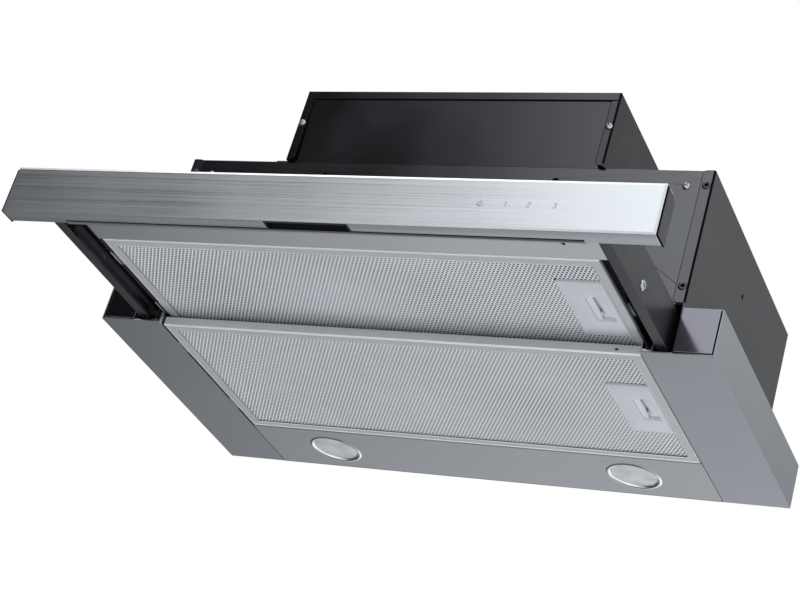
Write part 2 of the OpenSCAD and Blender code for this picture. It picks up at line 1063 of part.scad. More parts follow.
// Sheet over the drawer, between the arms
module drawer_top() {
    color(paint_c)
        block(-wall_x, fascia_in, arm_top - sheet_t, 2 * wall_x, wall_back - fascia_in, sheet_t);
}

// Right arm of the drawer: outer web, flanges, front fold, the filter's wall, and a shelf
// over the runner between the two
module arm(windows) {
    depth = arm_back - fascia_in;
    wide = wall_back - fascia_in;
    difference() {
        union() {
            block(arm_x - sheet_t, fascia_in, arm_z, sheet_t, depth, arm_h);
            block(arm_x - arm_foot, fascia_in, arm_z, arm_foot, depth, sheet_t);
            block(arm_x - arm_foot, fascia_in, arm_top - sheet_t, arm_foot, depth, sheet_t);
            block(arm_x - arm_foot, fascia_in, arm_z, arm_foot, sheet_t, arm_h);
            block(wall_x, fascia_in, arm_top - sheet_t, arm_x - wall_x, wide, sheet_t);
            block(wall_x, fascia_in, arm_shelf, arm_x - wall_x, wide, sheet_t);
            block(wall_x, rail_y, front_z, sheet_t, wall_back - rail_y, arm_top - front_z);
        }
        for (w = windows)
            block(wall_x - over, w[0], front_z + sheet_t, sheet_t + 2 * over, w[1], window_h);
        for (y = arm_screw_at)
            x_bar(screw_shank_r + fit, arm_x - sheet_t - over, fascia_in + y, arm_screw_z,
                sheet_t + 2 * over);
    }
}

module arm_right() {
    color(paint_c)
        arm([[front_y + front_d / 2 - tongue_w / 2 - seam, tongue_w + 2 * seam]]);
}

module arm_left() {
    color(paint_c)
        left()
            arm([for (s = [tab_share, 1 - tab_share])
                [front_y + s * front_d - tab_l / 2 - seam, tab_l + 2 * seam]]);
}

// Right runner: a lipped channel inside the arm, round the slide bar's head
module runner() {
    back = -travel - run_back;
    front = fascia_in + run_front;
    face = arm_x - sheet_t;
    difference() {
        along_y(front, back - front)
            difference() {
                translate([face - run_w, run_z])
                    square([run_w, run_h]);
                translate([face - run_w + run_t, run_z + run_t])
                    square([run_w - 2 * run_t, run_h - 2 * run_t]);
                translate([face - run_w - over, run_z + run_lip])
                    square([run_t + 2 * over, run_h - 2 * run_lip]);
            }
        for (s = run_holes_share)
            x_bar(run_hole_r, face - run_t - over, front + s * (back - front), run_z + run_h / 2,
                run_t + 2 * over);
        for (y = arm_screw_at)
            x_bar(screw_shank_r + fit, face - run_t - over, fascia_in + y, arm_screw_z,
                run_t + 2 * over);
    }
}

module runner_right() {
    color(grey_c)
        runner();
}

module runner_left() {
    color(grey_c)
        left()
            runner();
}

// Broad bright screws that hold the runners to the arms
module arm_screws() {
    color(bright_c)
        for (side = [0, 1], y = arm_screw_at)
            mirror([side, 0, 0])
                translate([arm_x, fascia_in + y, arm_screw_z])
                    difference() {
                        union() {
                            x_bar(arm_screw_r, 0, 0, 0, arm_screw_head);
                            x_bar(screw_shank_r, -sheet_t - run_t, 0, 0, sheet_t + run_t);
                        }
                        block(arm_screw_head - slot_deep, -slot_w / 2, -screw_r, slot_deep + over,
                            slot_w, 2 * screw_r);
                        block(arm_screw_head - slot_deep, -screw_r, -slot_w / 2, slot_deep + over,
                            2 * screw_r, slot_w);
                    }
}

// A filter's frame: a channel round the mesh, two tabs on the left, a slot for the latch
module filter_frame(depth) {
    difference() {
        union() {
            block(-filter_x, 0, 0, filter_w, depth, filter_h);
            for (s = [tab_share, 1 - tab_share])
                block(-filter_x - tab_out, s * depth - tab_l / 2, tab_z, tab_out + sheet_t, tab_l,
                    tab_t);
        }
        block(-filter_x + sheet_t, sheet_t, sheet_t, filter_w - 2 * sheet_t, depth - 2 * sheet_t,
            filter_h - 2 * sheet_t);
        block(-filter_x + rim_w, rim_w, -over, filter_w - 2 * rim_w, depth - 2 * rim_w,
            filter_h + 2 * over);
        block(filter_x - sheet_t - over, depth / 2 - tongue_w / 2 - seam, tab_z - seam / 2,
            sheet_t + 2 * over, tongue_w + 2 * seam, tongue_t + seam);
        y_bar(drain_r, filter_x - drain_in, -over, drain_z, sheet_t + 2 * over);
    }
}

// A filter's mesh: the stack of expanded sheets, cut out for the latch
module filter_mesh(depth) {
    difference() {
        block(-filter_x + sheet_t, sheet_t, sheet_t, filter_w - 2 * sheet_t, depth - 2 * sheet_t,
            filter_h - 2 * sheet_t);
        block(filter_x - latch_in, depth / 2 - latch_l / 2, 0, latch_in, latch_l, filter_h);
    }
}

// A latch's housing: the plate on the mesh, with its finger pocket and the tongue's channel
module latch_housing(depth) {
    x0 = filter_x - latch_in;
    difference() {
        union() {
            block(x0, depth / 2 - latch_l / 2, latch_set, latch_w, latch_l,
                filter_h - sheet_t - latch_set);
            block(x0, depth / 2 - latch_l / 2, sheet_t, latch_in - sheet_t, latch_l,
                filter_h - 2 * sheet_t);
        }
        block(filter_x - rim_w - pocket_from, depth / 2 - pocket_l / 2, -over, pocket_w, pocket_l,
            pocket_deep + over);
        block(filter_x - rim_w - pocket_from + pocket_w - over, depth / 2 - tongue_w / 2 - seam,
            tab_z - seam / 2, latch_in, tongue_w + 2 * seam, tongue_t + seam);
    }
}

// A latch: the thumb piece in the pocket and its tongue over the ledge
module latch(depth) {
    end = filter_x - rim_w - pocket_from + pocket_w - seam;
    block(end - thumb_w, depth / 2 - pocket_l / 2 + seam, thumb_z, thumb_w, pocket_l - 2 * seam,
        thumb_t);
    block(end - thumb_tab_w, depth / 2 + pocket_l / 2 - thumb_tab - seam, latch_set, thumb_tab_w,
        thumb_tab, thumb_t);
    block(end - thumb_w, depth / 2 - tongue_w / 2, tab_z, filter_x + tongue_out - end + thumb_w,
        tongue_w, tongue_t);
}

// Puts a filter's piece in the drawer
module in_drawer() {
    translate([0, front_y, front_z])
        children();
}

// Puts a filter's piece in the body
module in_body() {
    translate([0, rear_y, 0])
        children();
}

module filter_frame_front() {
    color(mesh_c)
        in_drawer()
            filter_frame(front_d);
}

module filter_mesh_front() {
    color(mesh_c)
        in_drawer()
            filter_mesh(front_d);
}

module latch_housing_front() {
    color(mesh_c)
        in_drawer()
            latch_housing(front_d);
}

module latch_front() {
    color(zinc_c)
        in_drawer()
            latch(front_d);
}

module filter_frame_rear() {
    color(mesh_c)
        in_body()
            filter_frame(rear_d);
}

module filter_mesh_rear() {
    color(mesh_c)
        in_body()
            filter_mesh(rear_d);
}

module latch_housing_rear() {
    color(mesh_c)
        in_body()
            latch_housing(rear_d);
}

module latch_rear() {
    color(zinc_c)
        in_body()
            latch(rear_d);
}

side_panel_left();
side_panel_right();
front_panel();
top_panel();
back_panel();
motor_side_left();
motor_side_right();
motor_top();
motor_front();
duct_collar();
flap_front();
flap_back();
skirt_left();
skirt_right();
light_panel();
lamp_ring_left();
lamp_lens_left();
lamp_body_left();
lamp_ring_right();
lamp_lens_right();
lamp_body_right();
guide_left();
guide_right();
slide_bar_left();
slide_bar_right();
scroll();
scroll_side_left();
scroll_side_right();
motor();
fan_wheel();
fan_blades_left();
fan_blades_right();
control_box();
capacitor();
cable_gland();
drawer_switch();
panel_screws();
motor_screws();
flange_rivets();
fascia();
fascia_back();
end_cap_left();
end_cap_right();
finger_pull();
touch_board();
front_rail();
drawer_top();
arm_left();
arm_right();
runner_left();
runner_right();
arm_screws();
filter_frame_front();
filter_mesh_front();
latch_housing_front();
latch_front();
filter_frame_rear();
filter_mesh_rear();
latch_housing_rear();
latch_rear();
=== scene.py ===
"""Looks of the pull-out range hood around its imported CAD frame."""
import math
import random

import bmesh
import bpy
from mathutils import Matrix, Vector

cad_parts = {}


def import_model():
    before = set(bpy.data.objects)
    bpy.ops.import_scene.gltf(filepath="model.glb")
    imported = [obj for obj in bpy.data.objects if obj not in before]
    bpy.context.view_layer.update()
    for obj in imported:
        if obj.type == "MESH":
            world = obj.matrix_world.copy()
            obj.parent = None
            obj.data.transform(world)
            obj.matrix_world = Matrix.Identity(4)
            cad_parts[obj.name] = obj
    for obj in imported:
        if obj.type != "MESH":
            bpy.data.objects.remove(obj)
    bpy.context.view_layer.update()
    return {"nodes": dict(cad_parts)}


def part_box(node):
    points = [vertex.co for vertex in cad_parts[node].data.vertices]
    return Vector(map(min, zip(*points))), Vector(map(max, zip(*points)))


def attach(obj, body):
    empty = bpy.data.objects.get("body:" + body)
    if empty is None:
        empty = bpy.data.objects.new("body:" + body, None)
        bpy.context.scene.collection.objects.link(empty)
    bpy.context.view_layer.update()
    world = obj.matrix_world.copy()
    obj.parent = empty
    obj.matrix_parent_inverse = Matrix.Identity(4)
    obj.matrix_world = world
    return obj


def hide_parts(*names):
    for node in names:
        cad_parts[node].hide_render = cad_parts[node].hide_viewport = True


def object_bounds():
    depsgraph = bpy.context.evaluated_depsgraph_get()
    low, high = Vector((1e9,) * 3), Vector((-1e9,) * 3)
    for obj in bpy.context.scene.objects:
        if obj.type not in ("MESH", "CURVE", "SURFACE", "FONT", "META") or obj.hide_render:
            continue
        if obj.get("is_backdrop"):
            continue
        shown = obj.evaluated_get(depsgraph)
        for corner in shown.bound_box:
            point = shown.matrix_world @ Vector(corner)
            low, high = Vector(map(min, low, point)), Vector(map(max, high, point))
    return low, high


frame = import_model()
MM = 0.001
TO_MM = 1000


# Materials

# Heights of the surfaces' relief, in metres.
METAL_GRAIN = 0.00004
ORANGE_PEEL = 0.00006
MOULD_GRAIN = 0.00005
LATTICE_DEPTH = 0.0003
PRISM_DEPTH = 0.0004
# Streaks along X, long or short, and along Y: cells to a metre on each axis.
LONG_X = (3, 1500, 1500)
SHORT_X = (6, 1500, 1500)
ALONG_Y = (1500, 6, 1500)
ROLLED_GRAIN = (500, 60, 500)
LATTICE_CELLS = (420, 640, 300)
PRISM_CELLS = (330, 330, 330)
# The mix node's sockets A and B and its result, for colours and for plain values.
COLOUR_SOCKETS = (6, 7, 2)
VALUE_SOCKETS = (2, 3, 0)


def material(name, base, metallic=0.0, rough=0.5, specular=0.5):
    """A material with a Principled shader, and short cuts to its nodes and links."""
    m = bpy.data.materials.new(name)
    m.use_nodes = True
    m.diffuse_color = (*base, 1)
    shader = m.node_tree.nodes["Principled BSDF"]
    shader.inputs["Base Color"].default_value = (*base, 1)
    shader.inputs["Metallic"].default_value = metallic
    shader.inputs["Roughness"].default_value = rough
    shader.inputs["Specular IOR Level"].default_value = specular
    return m, m.node_tree.nodes, m.node_tree.links, shader


def scaled_place(nodes, links, scale):
    """A point's place in the frame, in metres, with each axis multiplied by its scale."""
    where = nodes.new("ShaderNodeTexCoord")
    mapping = nodes.new("ShaderNodeMapping")
    mapping.inputs["Scale"].default_value = scale
    links.new(where.outputs["Object"], mapping.inputs["Vector"])
    return mapping.outputs["Vector"]


def noise(nodes, links, scale, detail=3.0, stretch=(1, 1, 1), roughness=0.5):
    """Noise in metres of the frame, drawn out by stretch; gives its 0 to 1 value."""
    place = scaled_place(nodes, links, [s * scale for s in stretch])
    n = nodes.new("ShaderNodeTexNoise")
    n.inputs["Scale"].default_value = 1.0
    n.inputs["Detail"].default_value = detail
    n.inputs["Roughness"].default_value = roughness
    links.new(place, n.inputs["Vector"])
    return n.outputs["Fac"]


def cells(nodes, links, scale):
    """How far a point is from the middle of its cell; scale is the cells to a metre on each axis."""
    place = scaled_place(nodes, links, scale)
    n = nodes.new("ShaderNodeTexVoronoi")
    n.inputs["Scale"].default_value = 1.0
    links.new(place, n.inputs["Vector"])
    return n.outputs["Distance"]


def ramp(nodes, links, value, low, high, start=0.3, stop=0.7):
    """Maps a value from start..stop to low..high."""
    r = nodes.new("ShaderNodeMapRange")
    r.inputs["From Min"].default_value = start
    r.inputs["From Max"].default_value = stop
    r.inputs["To Min"].default_value = low
    r.inputs["To Max"].default_value = high
    links.new(value, r.inputs["Value"])
    return r.outputs["Result"]


def two_colours(nodes, links, value, a, b):
    """Goes from colour a to colour b as the value goes from 0 to 1."""
    mix = nodes.new("ShaderNodeMix")
    mix.data_type = "RGBA"
    mix.inputs["A"].default_value = (*a, 1)
    mix.inputs["B"].default_value = (*b, 1)
    links.new(value, mix.inputs["Factor"])
    return mix.outputs["Result"]


def bump(nodes, links, shader, value, strength, distance):
    """Relief of a value on the shader; distance is its height in metres."""
    b = nodes.new("ShaderNodeBump")
    b.inputs["Strength"].default_value = strength
    b.inputs["Distance"].default_value = distance
    links.new(value, b.inputs["Height"])
    links.new(b.outputs["Normal"], shader.inputs["Normal"])


def shade(c, k):
    """A colour made lighter or darker by a factor."""
    return tuple(min(1.0, v * k) for v in c)


def brushed(name, base, rough, stretch, contrast=0.10, lift=0.25):
    """Straight-brushed sheet: long fine streaks in tone, gloss and height."""
    m, n, l, s = material(name, base, 1.0, rough)
    streak = noise(n, l, 1.0, 4.0, stretch, 0.65)
    tone = ramp(n, l, streak, 0.0, 1.0)
    l.new(two_colours(n, l, tone, shade(base, 1 - contrast), shade(base, 1 + contrast)),
          s.inputs["Base Color"])
    cloud = noise(n, l, 9.0, 2.0)
    add = n.new("ShaderNodeMath")
    add.operation = "ADD"
    l.new(ramp(n, l, streak, rough - 0.06, rough + 0.06), add.inputs[0])
    l.new(ramp(n, l, cloud, -0.02, 0.02), add.inputs[1])
    l.new(add.outputs[0], s.inputs["Roughness"])
    bump(n, l, s, streak, lift, METAL_GRAIN)
    return m


def paint(name, base, rough, specular, grain=1.0, coat=0.0):
    """Baked enamel on sheet steel: a faint orange peel and a slightly uneven gloss."""
    m, n, l, s = material(name, base, 0.0, rough, specular)
    s.inputs["Coat Weight"].default_value = coat
    s.inputs["Coat Roughness"].default_value = rough
    s.inputs["Coat IOR"].default_value = 1.6
    s.inputs["Specular Tint"].default_value = (0.90, 0.93, 1.0, 1)
    fine = noise(n, l, 900.0, 3.0)
    cloud = noise(n, l, 14.0, 3.0)
    l.new(two_colours(n, l, ramp(n, l, fine, 0.0, 1.0), shade(base, 0.86), shade(base, 1.16)),
          s.inputs["Base Color"])
    l.new(ramp(n, l, cloud, rough - 0.035, rough + 0.035), s.inputs["Roughness"])
    bump(n, l, s, fine, 0.12 * grain, ORANGE_PEEL)
    return m


def end_faces(m, base, rough, from_x):
    """Makes the faces that look to the front, further out than from_x, dark and polished."""
    n, l = m.node_tree.nodes, m.node_tree.links
    s = n["Principled BSDF"]
    geometry = n.new("ShaderNodeNewGeometry")
    where = n.new("ShaderNodeTexCoord")
    facing_front = n.new("ShaderNodeSeparateXYZ")
    place = n.new("ShaderNodeSeparateXYZ")
    l.new(geometry.outputs["True Normal"], facing_front.inputs[0])
    l.new(where.outputs["Object"], place.inputs[0])
    front = ramp(n, l, facing_front.outputs["Y"], 1.0, 0.0, -0.98, -0.90)
    size = n.new("ShaderNodeMath")
    size.operation = "ABSOLUTE"
    l.new(place.outputs["X"], size.inputs[0])
    outside = ramp(n, l, size.outputs[0], 0.0, 1.0, from_x, from_x + 0.0002)
    both = n.new("ShaderNodeMath")
    both.operation = "MULTIPLY"
    l.new(front, both.inputs[0])
    l.new(outside, both.inputs[1])
    for socket, value in (("Base Color", (*base, 1)), ("Roughness", rough)):
        old = s.inputs[socket].links[0].from_socket
        colour = socket == "Base Color"
        mix = n.new("ShaderNodeMix")
        mix.data_type = "RGBA" if colour else "FLOAT"
        a, b, out = COLOUR_SOCKETS if colour else VALUE_SOCKETS
        l.new(both.outputs[0], mix.inputs[0])
        l.new(old, mix.inputs[a])
        mix.inputs[b].default_value = value
        l.new(mix.outputs[out], s.inputs[socket])


def plastic(name, base, rough, specular=0.45):
    """Moulded plastic: a fine grain and uneven gloss."""
    m, n, l, s = material(name, base, 0.0, rough, specular)
    fine = noise(n, l, 1600.0, 4.0)
    l.new(two_colours(n, l, ramp(n, l, fine, 0.0, 1.0), shade(base, 0.88), shade(base, 1.12)),
          s.inputs["Base Color"])
    l.new(ramp(n, l, noise(n, l, 30.0), rough - 0.05, rough + 0.05), s.inputs["Roughness"])
    bump(n, l, s, fine, 0.2, MOULD_GRAIN)
    return m


def rolled(name, base, rough, contrast=0.05):
    """Rolled aluminium: a soft cross grain and dull patches."""
    m, n, l, s = material(name, base, 1.0, rough)
    fine = noise(n, l, 1.0, 3.0, ROLLED_GRAIN)
    patch = noise(n, l, 25.0, 4.0)
    l.new(two_colours(n, l, ramp(n, l, patch, 0.0, 1.0), shade(base, 1 - contrast),
                      shade(base, 1 + contrast)), s.inputs["Base Color"])
    l.new(ramp(n, l, patch, rough - 0.06, rough + 0.06), s.inputs["Roughness"])
    bump(n, l, s, fine, 0.1, METAL_GRAIN)
    return m


def satin(name, base, metallic=0.2):
    """Pickled aluminium plate: nearly matte, with a faint grain."""
    m, n, l, s = material(name, base, metallic, 0.42)
    patch = noise(n, l, 40.0, 4.0)
    fine = noise(n, l, 1500.0, 2.0)
    l.new(two_colours(n, l, ramp(n, l, patch, 0.0, 1.0), shade(base, 0.975), shade(base, 1.025)),
          s.inputs["Base Color"])
    l.new(ramp(n, l, patch, 0.38, 0.46), s.inputs["Roughness"])
    bump(n, l, s, fine, 0.1, METAL_GRAIN)
    return m


# Base colours that two paints share, and the X beyond which front faces count as ends, in metres.
GLOSS_BLACK = (0.004, 0.004, 0.005)
MATT_BLACK = (0.006, 0.006, 0.007)
SKIRT_END_X = 0.2634
BODY_END_X = 0.1
steel_front = brushed("steel_front", (0.60, 0.625, 0.655), 0.30, LONG_X, 0.06)
front_shader = steel_front.node_tree.nodes["Principled BSDF"]
front_shader.inputs["Anisotropic"].default_value = 0.6
front_shader.inputs["Anisotropic Rotation"].default_value = 0.25
steel_satin = brushed("steel_satin", (0.48, 0.50, 0.54), 0.34, ALONG_Y, 0.03, 0.10)
# Painted shade: the skirts' front end faces get a far darker copy of the steel, polished so they still mirror
# the room.
end_faces(steel_satin, (0.165, 0.165, 0.185), 0.13, SKIRT_END_X)
steel_panel = brushed("steel_panel", (0.51, 0.535, 0.57), 0.25, SHORT_X, 0.03, 0.10)
steel_rail = brushed("steel_rail", (0.63, 0.65, 0.68), 0.18, LONG_X, 0.05, 0.15)
paint_body = paint("paint_body", GLOSS_BLACK, 0.17, 1.0, 1.0, 0.3)
paint_side = paint("paint_side", MATT_BLACK, 0.50, 1.0, 1.0, 0.25)
end_faces(paint_side, GLOSS_BLACK, 0.17, BODY_END_X)
paint_motor = paint("paint_motor", (0.003, 0.003, 0.004), 0.16, 0.85)
paint_box = paint("paint_box", MATT_BLACK, 0.5, 0.7)
end_faces(paint_box, GLOSS_BLACK, 0.16, BODY_END_X)
paint_arm = paint("paint_arm", (0.010, 0.010, 0.012), 0.36, 0.8)
# Painted shade: a near-black matt paint for the dark lines in seams, gaps, folds and the rail's notch.
painted_gap_shade = paint("painted_gap_shade", (0.002, 0.002, 0.002), 0.7, 0.05)
zinc_mat = rolled("zinc_sheet", (0.42, 0.43, 0.45), 0.4, 0.12)
slide_mat = paint("slide_steel_mat", (0.030, 0.031, 0.035), 0.34, 1.0, 1.6)
alu_frame = satin("alu_frame", (0.44, 0.455, 0.48), 0.3)
# Painted highlight: a far lighter, more metallic copy of the rim's aluminium, for the rim's front edges and
# folds.
rim_painted_highlight = satin("rim_painted_highlight", (0.96, 0.97, 0.98), 0.7)
alu_plate = satin("alu_plate", (0.55, 0.575, 0.61))
alu_strand = satin("alu_strand", (0.76, 0.785, 0.82), 0.35)
chrome = rolled("bright_plate", (0.80, 0.81, 0.83), 0.16, 0.04)
screw_steel = rolled("screw_steel", (0.46, 0.47, 0.49), 0.22, 0.06)
cast = rolled("cast_alloy", (0.45, 0.46, 0.48), 0.55, 0.1)
plastic_black = plastic("plastic_black", (0.010, 0.010, 0.012), 0.40)
plastic_grey = plastic("plastic_grey", (0.075, 0.077, 0.085), 0.45)
plastic_cap = plastic("plastic_cap", (0.032, 0.033, 0.045), 0.36)
plastic_white = plastic("plastic_white", (0.72, 0.73, 0.74), 0.35)
rubber_mat = plastic("rubber_black", (0.014, 0.014, 0.014), 0.7, 0.25)
ink = paint("printed_marks", (0.05, 0.052, 0.06), 0.5, 0.4)


def painted_shade_stack(name):
    """The inner layers of a filter: a dense lattice painted nearly black, painted shade for the shade between
    the layers, with a shimmering relief.
    """
    m, n, l, s = material(name, (0.10, 0.10, 0.105), 0.6, 0.5)
    tone = ramp(n, l, cells(n, l, LATTICE_CELLS), 0.0, 1.0, 0.15, 0.7)
    l.new(two_colours(n, l, tone, (0.06, 0.062, 0.066), (0.008, 0.008, 0.01)), s.inputs["Base Color"])
    bump(n, l, s, tone, 0.5, LATTICE_DEPTH)
    return m


def frosted(name):
    """Frosted lens: pale, softly mottled, with fine prisms."""
    m, n, l, s = material(name, (0.60, 0.635, 0.625), 0.0, 0.32, 0.5)
    blot = noise(n, l, 70.0, 4.0)
    l.new(two_colours(n, l, ramp(n, l, blot, 0.0, 1.0), (0.37, 0.40, 0.395), (0.52, 0.55, 0.535)),
          s.inputs["Base Color"])
    bump(n, l, s, cells(n, l, PRISM_CELLS), 0.5, PRISM_DEPTH)
    s.inputs["Coat Weight"].default_value = 0.4
    s.inputs["Coat Roughness"].default_value = 0.12
    return m


stack_painted_shade = painted_shade_stack("stack_painted_shade")
lens_mat = frosted("lens_frosted")


# Mesh helpers

# Points closer than this, in metres, are one.
SAME_POINT = 1e-7
# How close a turned outline comes to its axis, in millimetres.
CORE = 0.02


class Shape:
    """Collects points and faces in millimetres, with a material number for each face."""

    def __init__(self):
        self.points = []
        self.faces = []
        self.marks = []

    def add(self, points, faces, mark=0):
        """Adds points, and faces that number them from zero."""
        start = len(self.points)
        self.points += [tuple(p) for p in points]
        self.faces += [tuple(start + i for i in f) for f in faces]
        self.marks += [mark] * len(faces)
        return self

    def move(self, shift=(0, 0, 0), turn=None):
        """Turns all the points about the origin, then shifts them."""
        t = turn if turn is not None else Matrix.Identity(3)
        self.points = [tuple(t @ Vector(p) + Vector(shift)) for p in self.points]
        return self

    def join(self, other, shift=0):
        """Takes in another shape; shift is added to its material numbers."""
        start = len(self.points)
        self.points += other.points
        self.faces += [tuple(start + i for i in f) for f in other.faces]
        self.marks += [k + shift for k in other.marks]
        return self


def piece(name, shape, materials, body, smooth=None):
    """Makes an object of a shape, riding on a body. smooth is the angle under which edges blend."""
    mesh = bpy.data.meshes.new(name)
    mesh.from_pydata([(x * MM, y * MM, z * MM) for x, y, z in shape.points], [], shape.faces)
    mesh.polygons.foreach_set("material_index", shape.marks)
    for m in materials:
        mesh.materials.append(m)
    mesh.validate()
    bm = bmesh.new()
    bm.from_mesh(mesh)
    bmesh.ops.remove_doubles(bm, verts=bm.verts, dist=SAME_POINT)
    bmesh.ops.recalc_face_normals(bm, faces=bm.faces)
    if smooth is not None:
        for f in bm.faces:
            f.smooth = True
        limit = math.radians(smooth)
        for e in bm.edges:
            e.smooth = len(e.link_faces) == 2 and e.calc_face_angle(0.0) < limit
    bm.to_mesh(mesh)
    bm.free()
    o = bpy.data.objects.new(name, mesh)
    bpy.context.scene.collection.objects.link(o)
    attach(o, body)
    return o


def rounded_box(low, high, r=0.3, steps=2):
    """A block from corner to corner with all its edges rounded."""
    bm = bmesh.new()
    bmesh.ops.create_cube(bm, size=1.0)
    for v in bm.verts:
        v.co = [(low[k] + high[k]) / 2 + v.co[k] * (high[k] - low[k]) for k in range(3)]
    if r > 0:
        bmesh.ops.bevel(bm, geom=list(bm.edges), offset=r, segments=steps, profile=0.5,
                        affect="EDGES", clamp_overlap=True)
    bm.verts.ensure_lookup_table()
    points = [tuple(v.co) for v in bm.verts]
    faces = [tuple(v.index for v in f.verts) for f in bm.faces]
    bm.free()
    return Shape().add(points, faces)


def bridge(loops, close_ends=True, wrap=False):
    """Joins rings of equal length one to the next."""
    n = len(loops[0])
    points = [p for ring in loops for p in ring]
    faces = []
    count = len(loops) if wrap else len(loops) - 1
    for i in range(count):
        a, b = i * n, ((i + 1) % len(loops)) * n
        faces += [(a + k, a + (k + 1) % n, b + (k + 1) % n, b + k) for k in range(n)]
    if close_ends and not wrap:
        faces.append(tuple(range(n - 1, -1, -1)))
        faces.append(tuple((len(loops) - 1) * n + k for k in range(n)))
    return Shape().add(points, faces)


def revolve(profile, steps, centre):
    """Turns a closed outline of (radius, z) round the Z axis through centre."""
    rings = []
    for i in range(steps):
        a = 2 * math.pi * i / steps
        rings.append([(centre[0] + r * math.cos(a), centre[1] + r * math.sin(a), centre[2] + z)
                      for r, z in profile])
    return bridge(rings, close_ends=False, wrap=True)


def arc(cx, cy, r, a0, a1, steps):
    """Points of a circle's arc, from angle a0 to a1 in degrees."""
    return [(cx + r * math.cos(math.radians(a0 + (a1 - a0) * i / steps)),
             cy + r * math.sin(math.radians(a0 + (a1 - a0) * i / steps))) for i in range(steps + 1)]


def bar(outline, axis, start, stop):
    """Draws a closed outline out along an axis. The outline's pairs are the two other axes, in order."""
    def place(p, t):
        """A pair of the outline, at t along the axis."""
        q = list(p)
        q.insert(axis, t)
        return tuple(q)
    return bridge([[place(p, start) for p in outline], [place(p, stop) for p in outline]])


def cut(target, cutters):
    """Cuts blocks or bars out of a finished piece, for good."""
    for shape in cutters:
        mesh = bpy.data.meshes.new("cutter")
        mesh.from_pydata([(x * MM, y * MM, z * MM) for x, y, z in shape.points], [], shape.faces)
        tool = bpy.data.objects.new("cutter", mesh)
        bpy.context.scene.collection.objects.link(tool)
        bm = bmesh.new()
        bm.from_mesh(mesh)
        bmesh.ops.recalc_face_normals(bm, faces=bm.faces)
        bm.to_mesh(mesh)
        bm.free()
        mod = target.modifiers.new("cut", "BOOLEAN")
        mod.operation = "DIFFERENCE"
        mod.solver = "EXACT"
        mod.object = tool
        dg = bpy.context.evaluated_depsgraph_get()
        done = bpy.data.meshes.new_from_object(target.evaluated_get(dg))
        target.modifiers.remove(mod)
        old = target.data
        target.data = done
        bpy.data.meshes.remove(old)
        bpy.data.objects.remove(tool)


def mm(node):
    """A CAD node's box in millimetres."""
    low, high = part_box(node)
    return [v * TO_MM for v in low], [v * TO_MM for v in high]


# Filters

# Sizes in millimetres, angles in degrees, heights from the filter's underside.
# The rim is the filter's folded edge; pitch and row are the mesh's spacing along X and Y.
RIM = 9.5
PITCH = 3.73
ROW = 3.16
# A strand's section, how far it swings up and to the side, and how its lean drifts over the sheet.
STRAND_WIDE, STRAND_THICK, STRAND_RISE = 1.35, 0.2, 0.25
STRAND_SWAY = PITCH / 4 + 0.08
STRAND_LEAN, LEAN_CHANGE = 15, 9
LEAN_WAVES, SEED = 7, 7
# How far the mesh goes under the rim, and its sheets' distance from the underside and the top.
MESH_TUCK = 1.2
LOWER_MESH, UPPER_MESH = 2.1, 0.65
# The finger recess in the latch's plate, the slot in the rim, and the bolt that goes through it.
POCKET_IN = 21.5
POCKET_W = 16.5
POCKET_HALF = 19.5
SLOT_HALF, SLOT_LOW, SLOT_HIGH = 10.3, 1.25, 3.7
BOLT_HALF, BOLT_LOW, BOLT_HIGH = 10, 1.42, 3.38
HOUSING_TOP = 8.35
# The oval drain hole in the rim's front, and the two tabs at the filter's left.
DRAIN_IN, DRAIN_UP, DRAIN_HALF_W, DRAIN_HALF_H = 22, 4.6, 1.9, 1.25
TAB_SHARES, TAB_HALF, TAB_LOW, TAB_HIGH = (0.22, 0.78), 10, 1.42, 2.2


def frame_profile(h):
    """Section of a filter's rim: (distance in from the outer edge, height)."""
    p = arc(1.5, 1.5, 1.5, 270, 180, 5)
    p += arc(1.0, h - 1.0, 1.0, 180, 90, 4)
    p += [(RIM - 0.4, h), (RIM, h - 0.4), (RIM - 0.4, h - 0.9), (1.2, h - 0.9), (1.0, h - 1.2)]
    p += [(1.0, 1.9), (1.6, 1.35), (RIM - 0.9, 1.35)]
    p += arc(RIM - 0.55, 0.72, 0.62, 90, -90, 6)
    p += [(RIM - 1.7, 0.1), (RIM - 2.1, 0.6), (2.5, 0.6), (2.1, 0.06)]
    return p


def swept_frame(x0, x1, y0, y1, z, h):
    """A rim with mitred corners round a rectangle."""
    p = frame_profile(h)
    rings = []
    for sx, sy in ((0, 0), (1, 0), (1, 1), (0, 1)):
        rings.append([((x1 - u) if sx else (x0 + u), (y1 - u) if sy else (y0 + u), z + w) for u, w in p])
    return bridge(rings, close_ends=False, wrap=True)


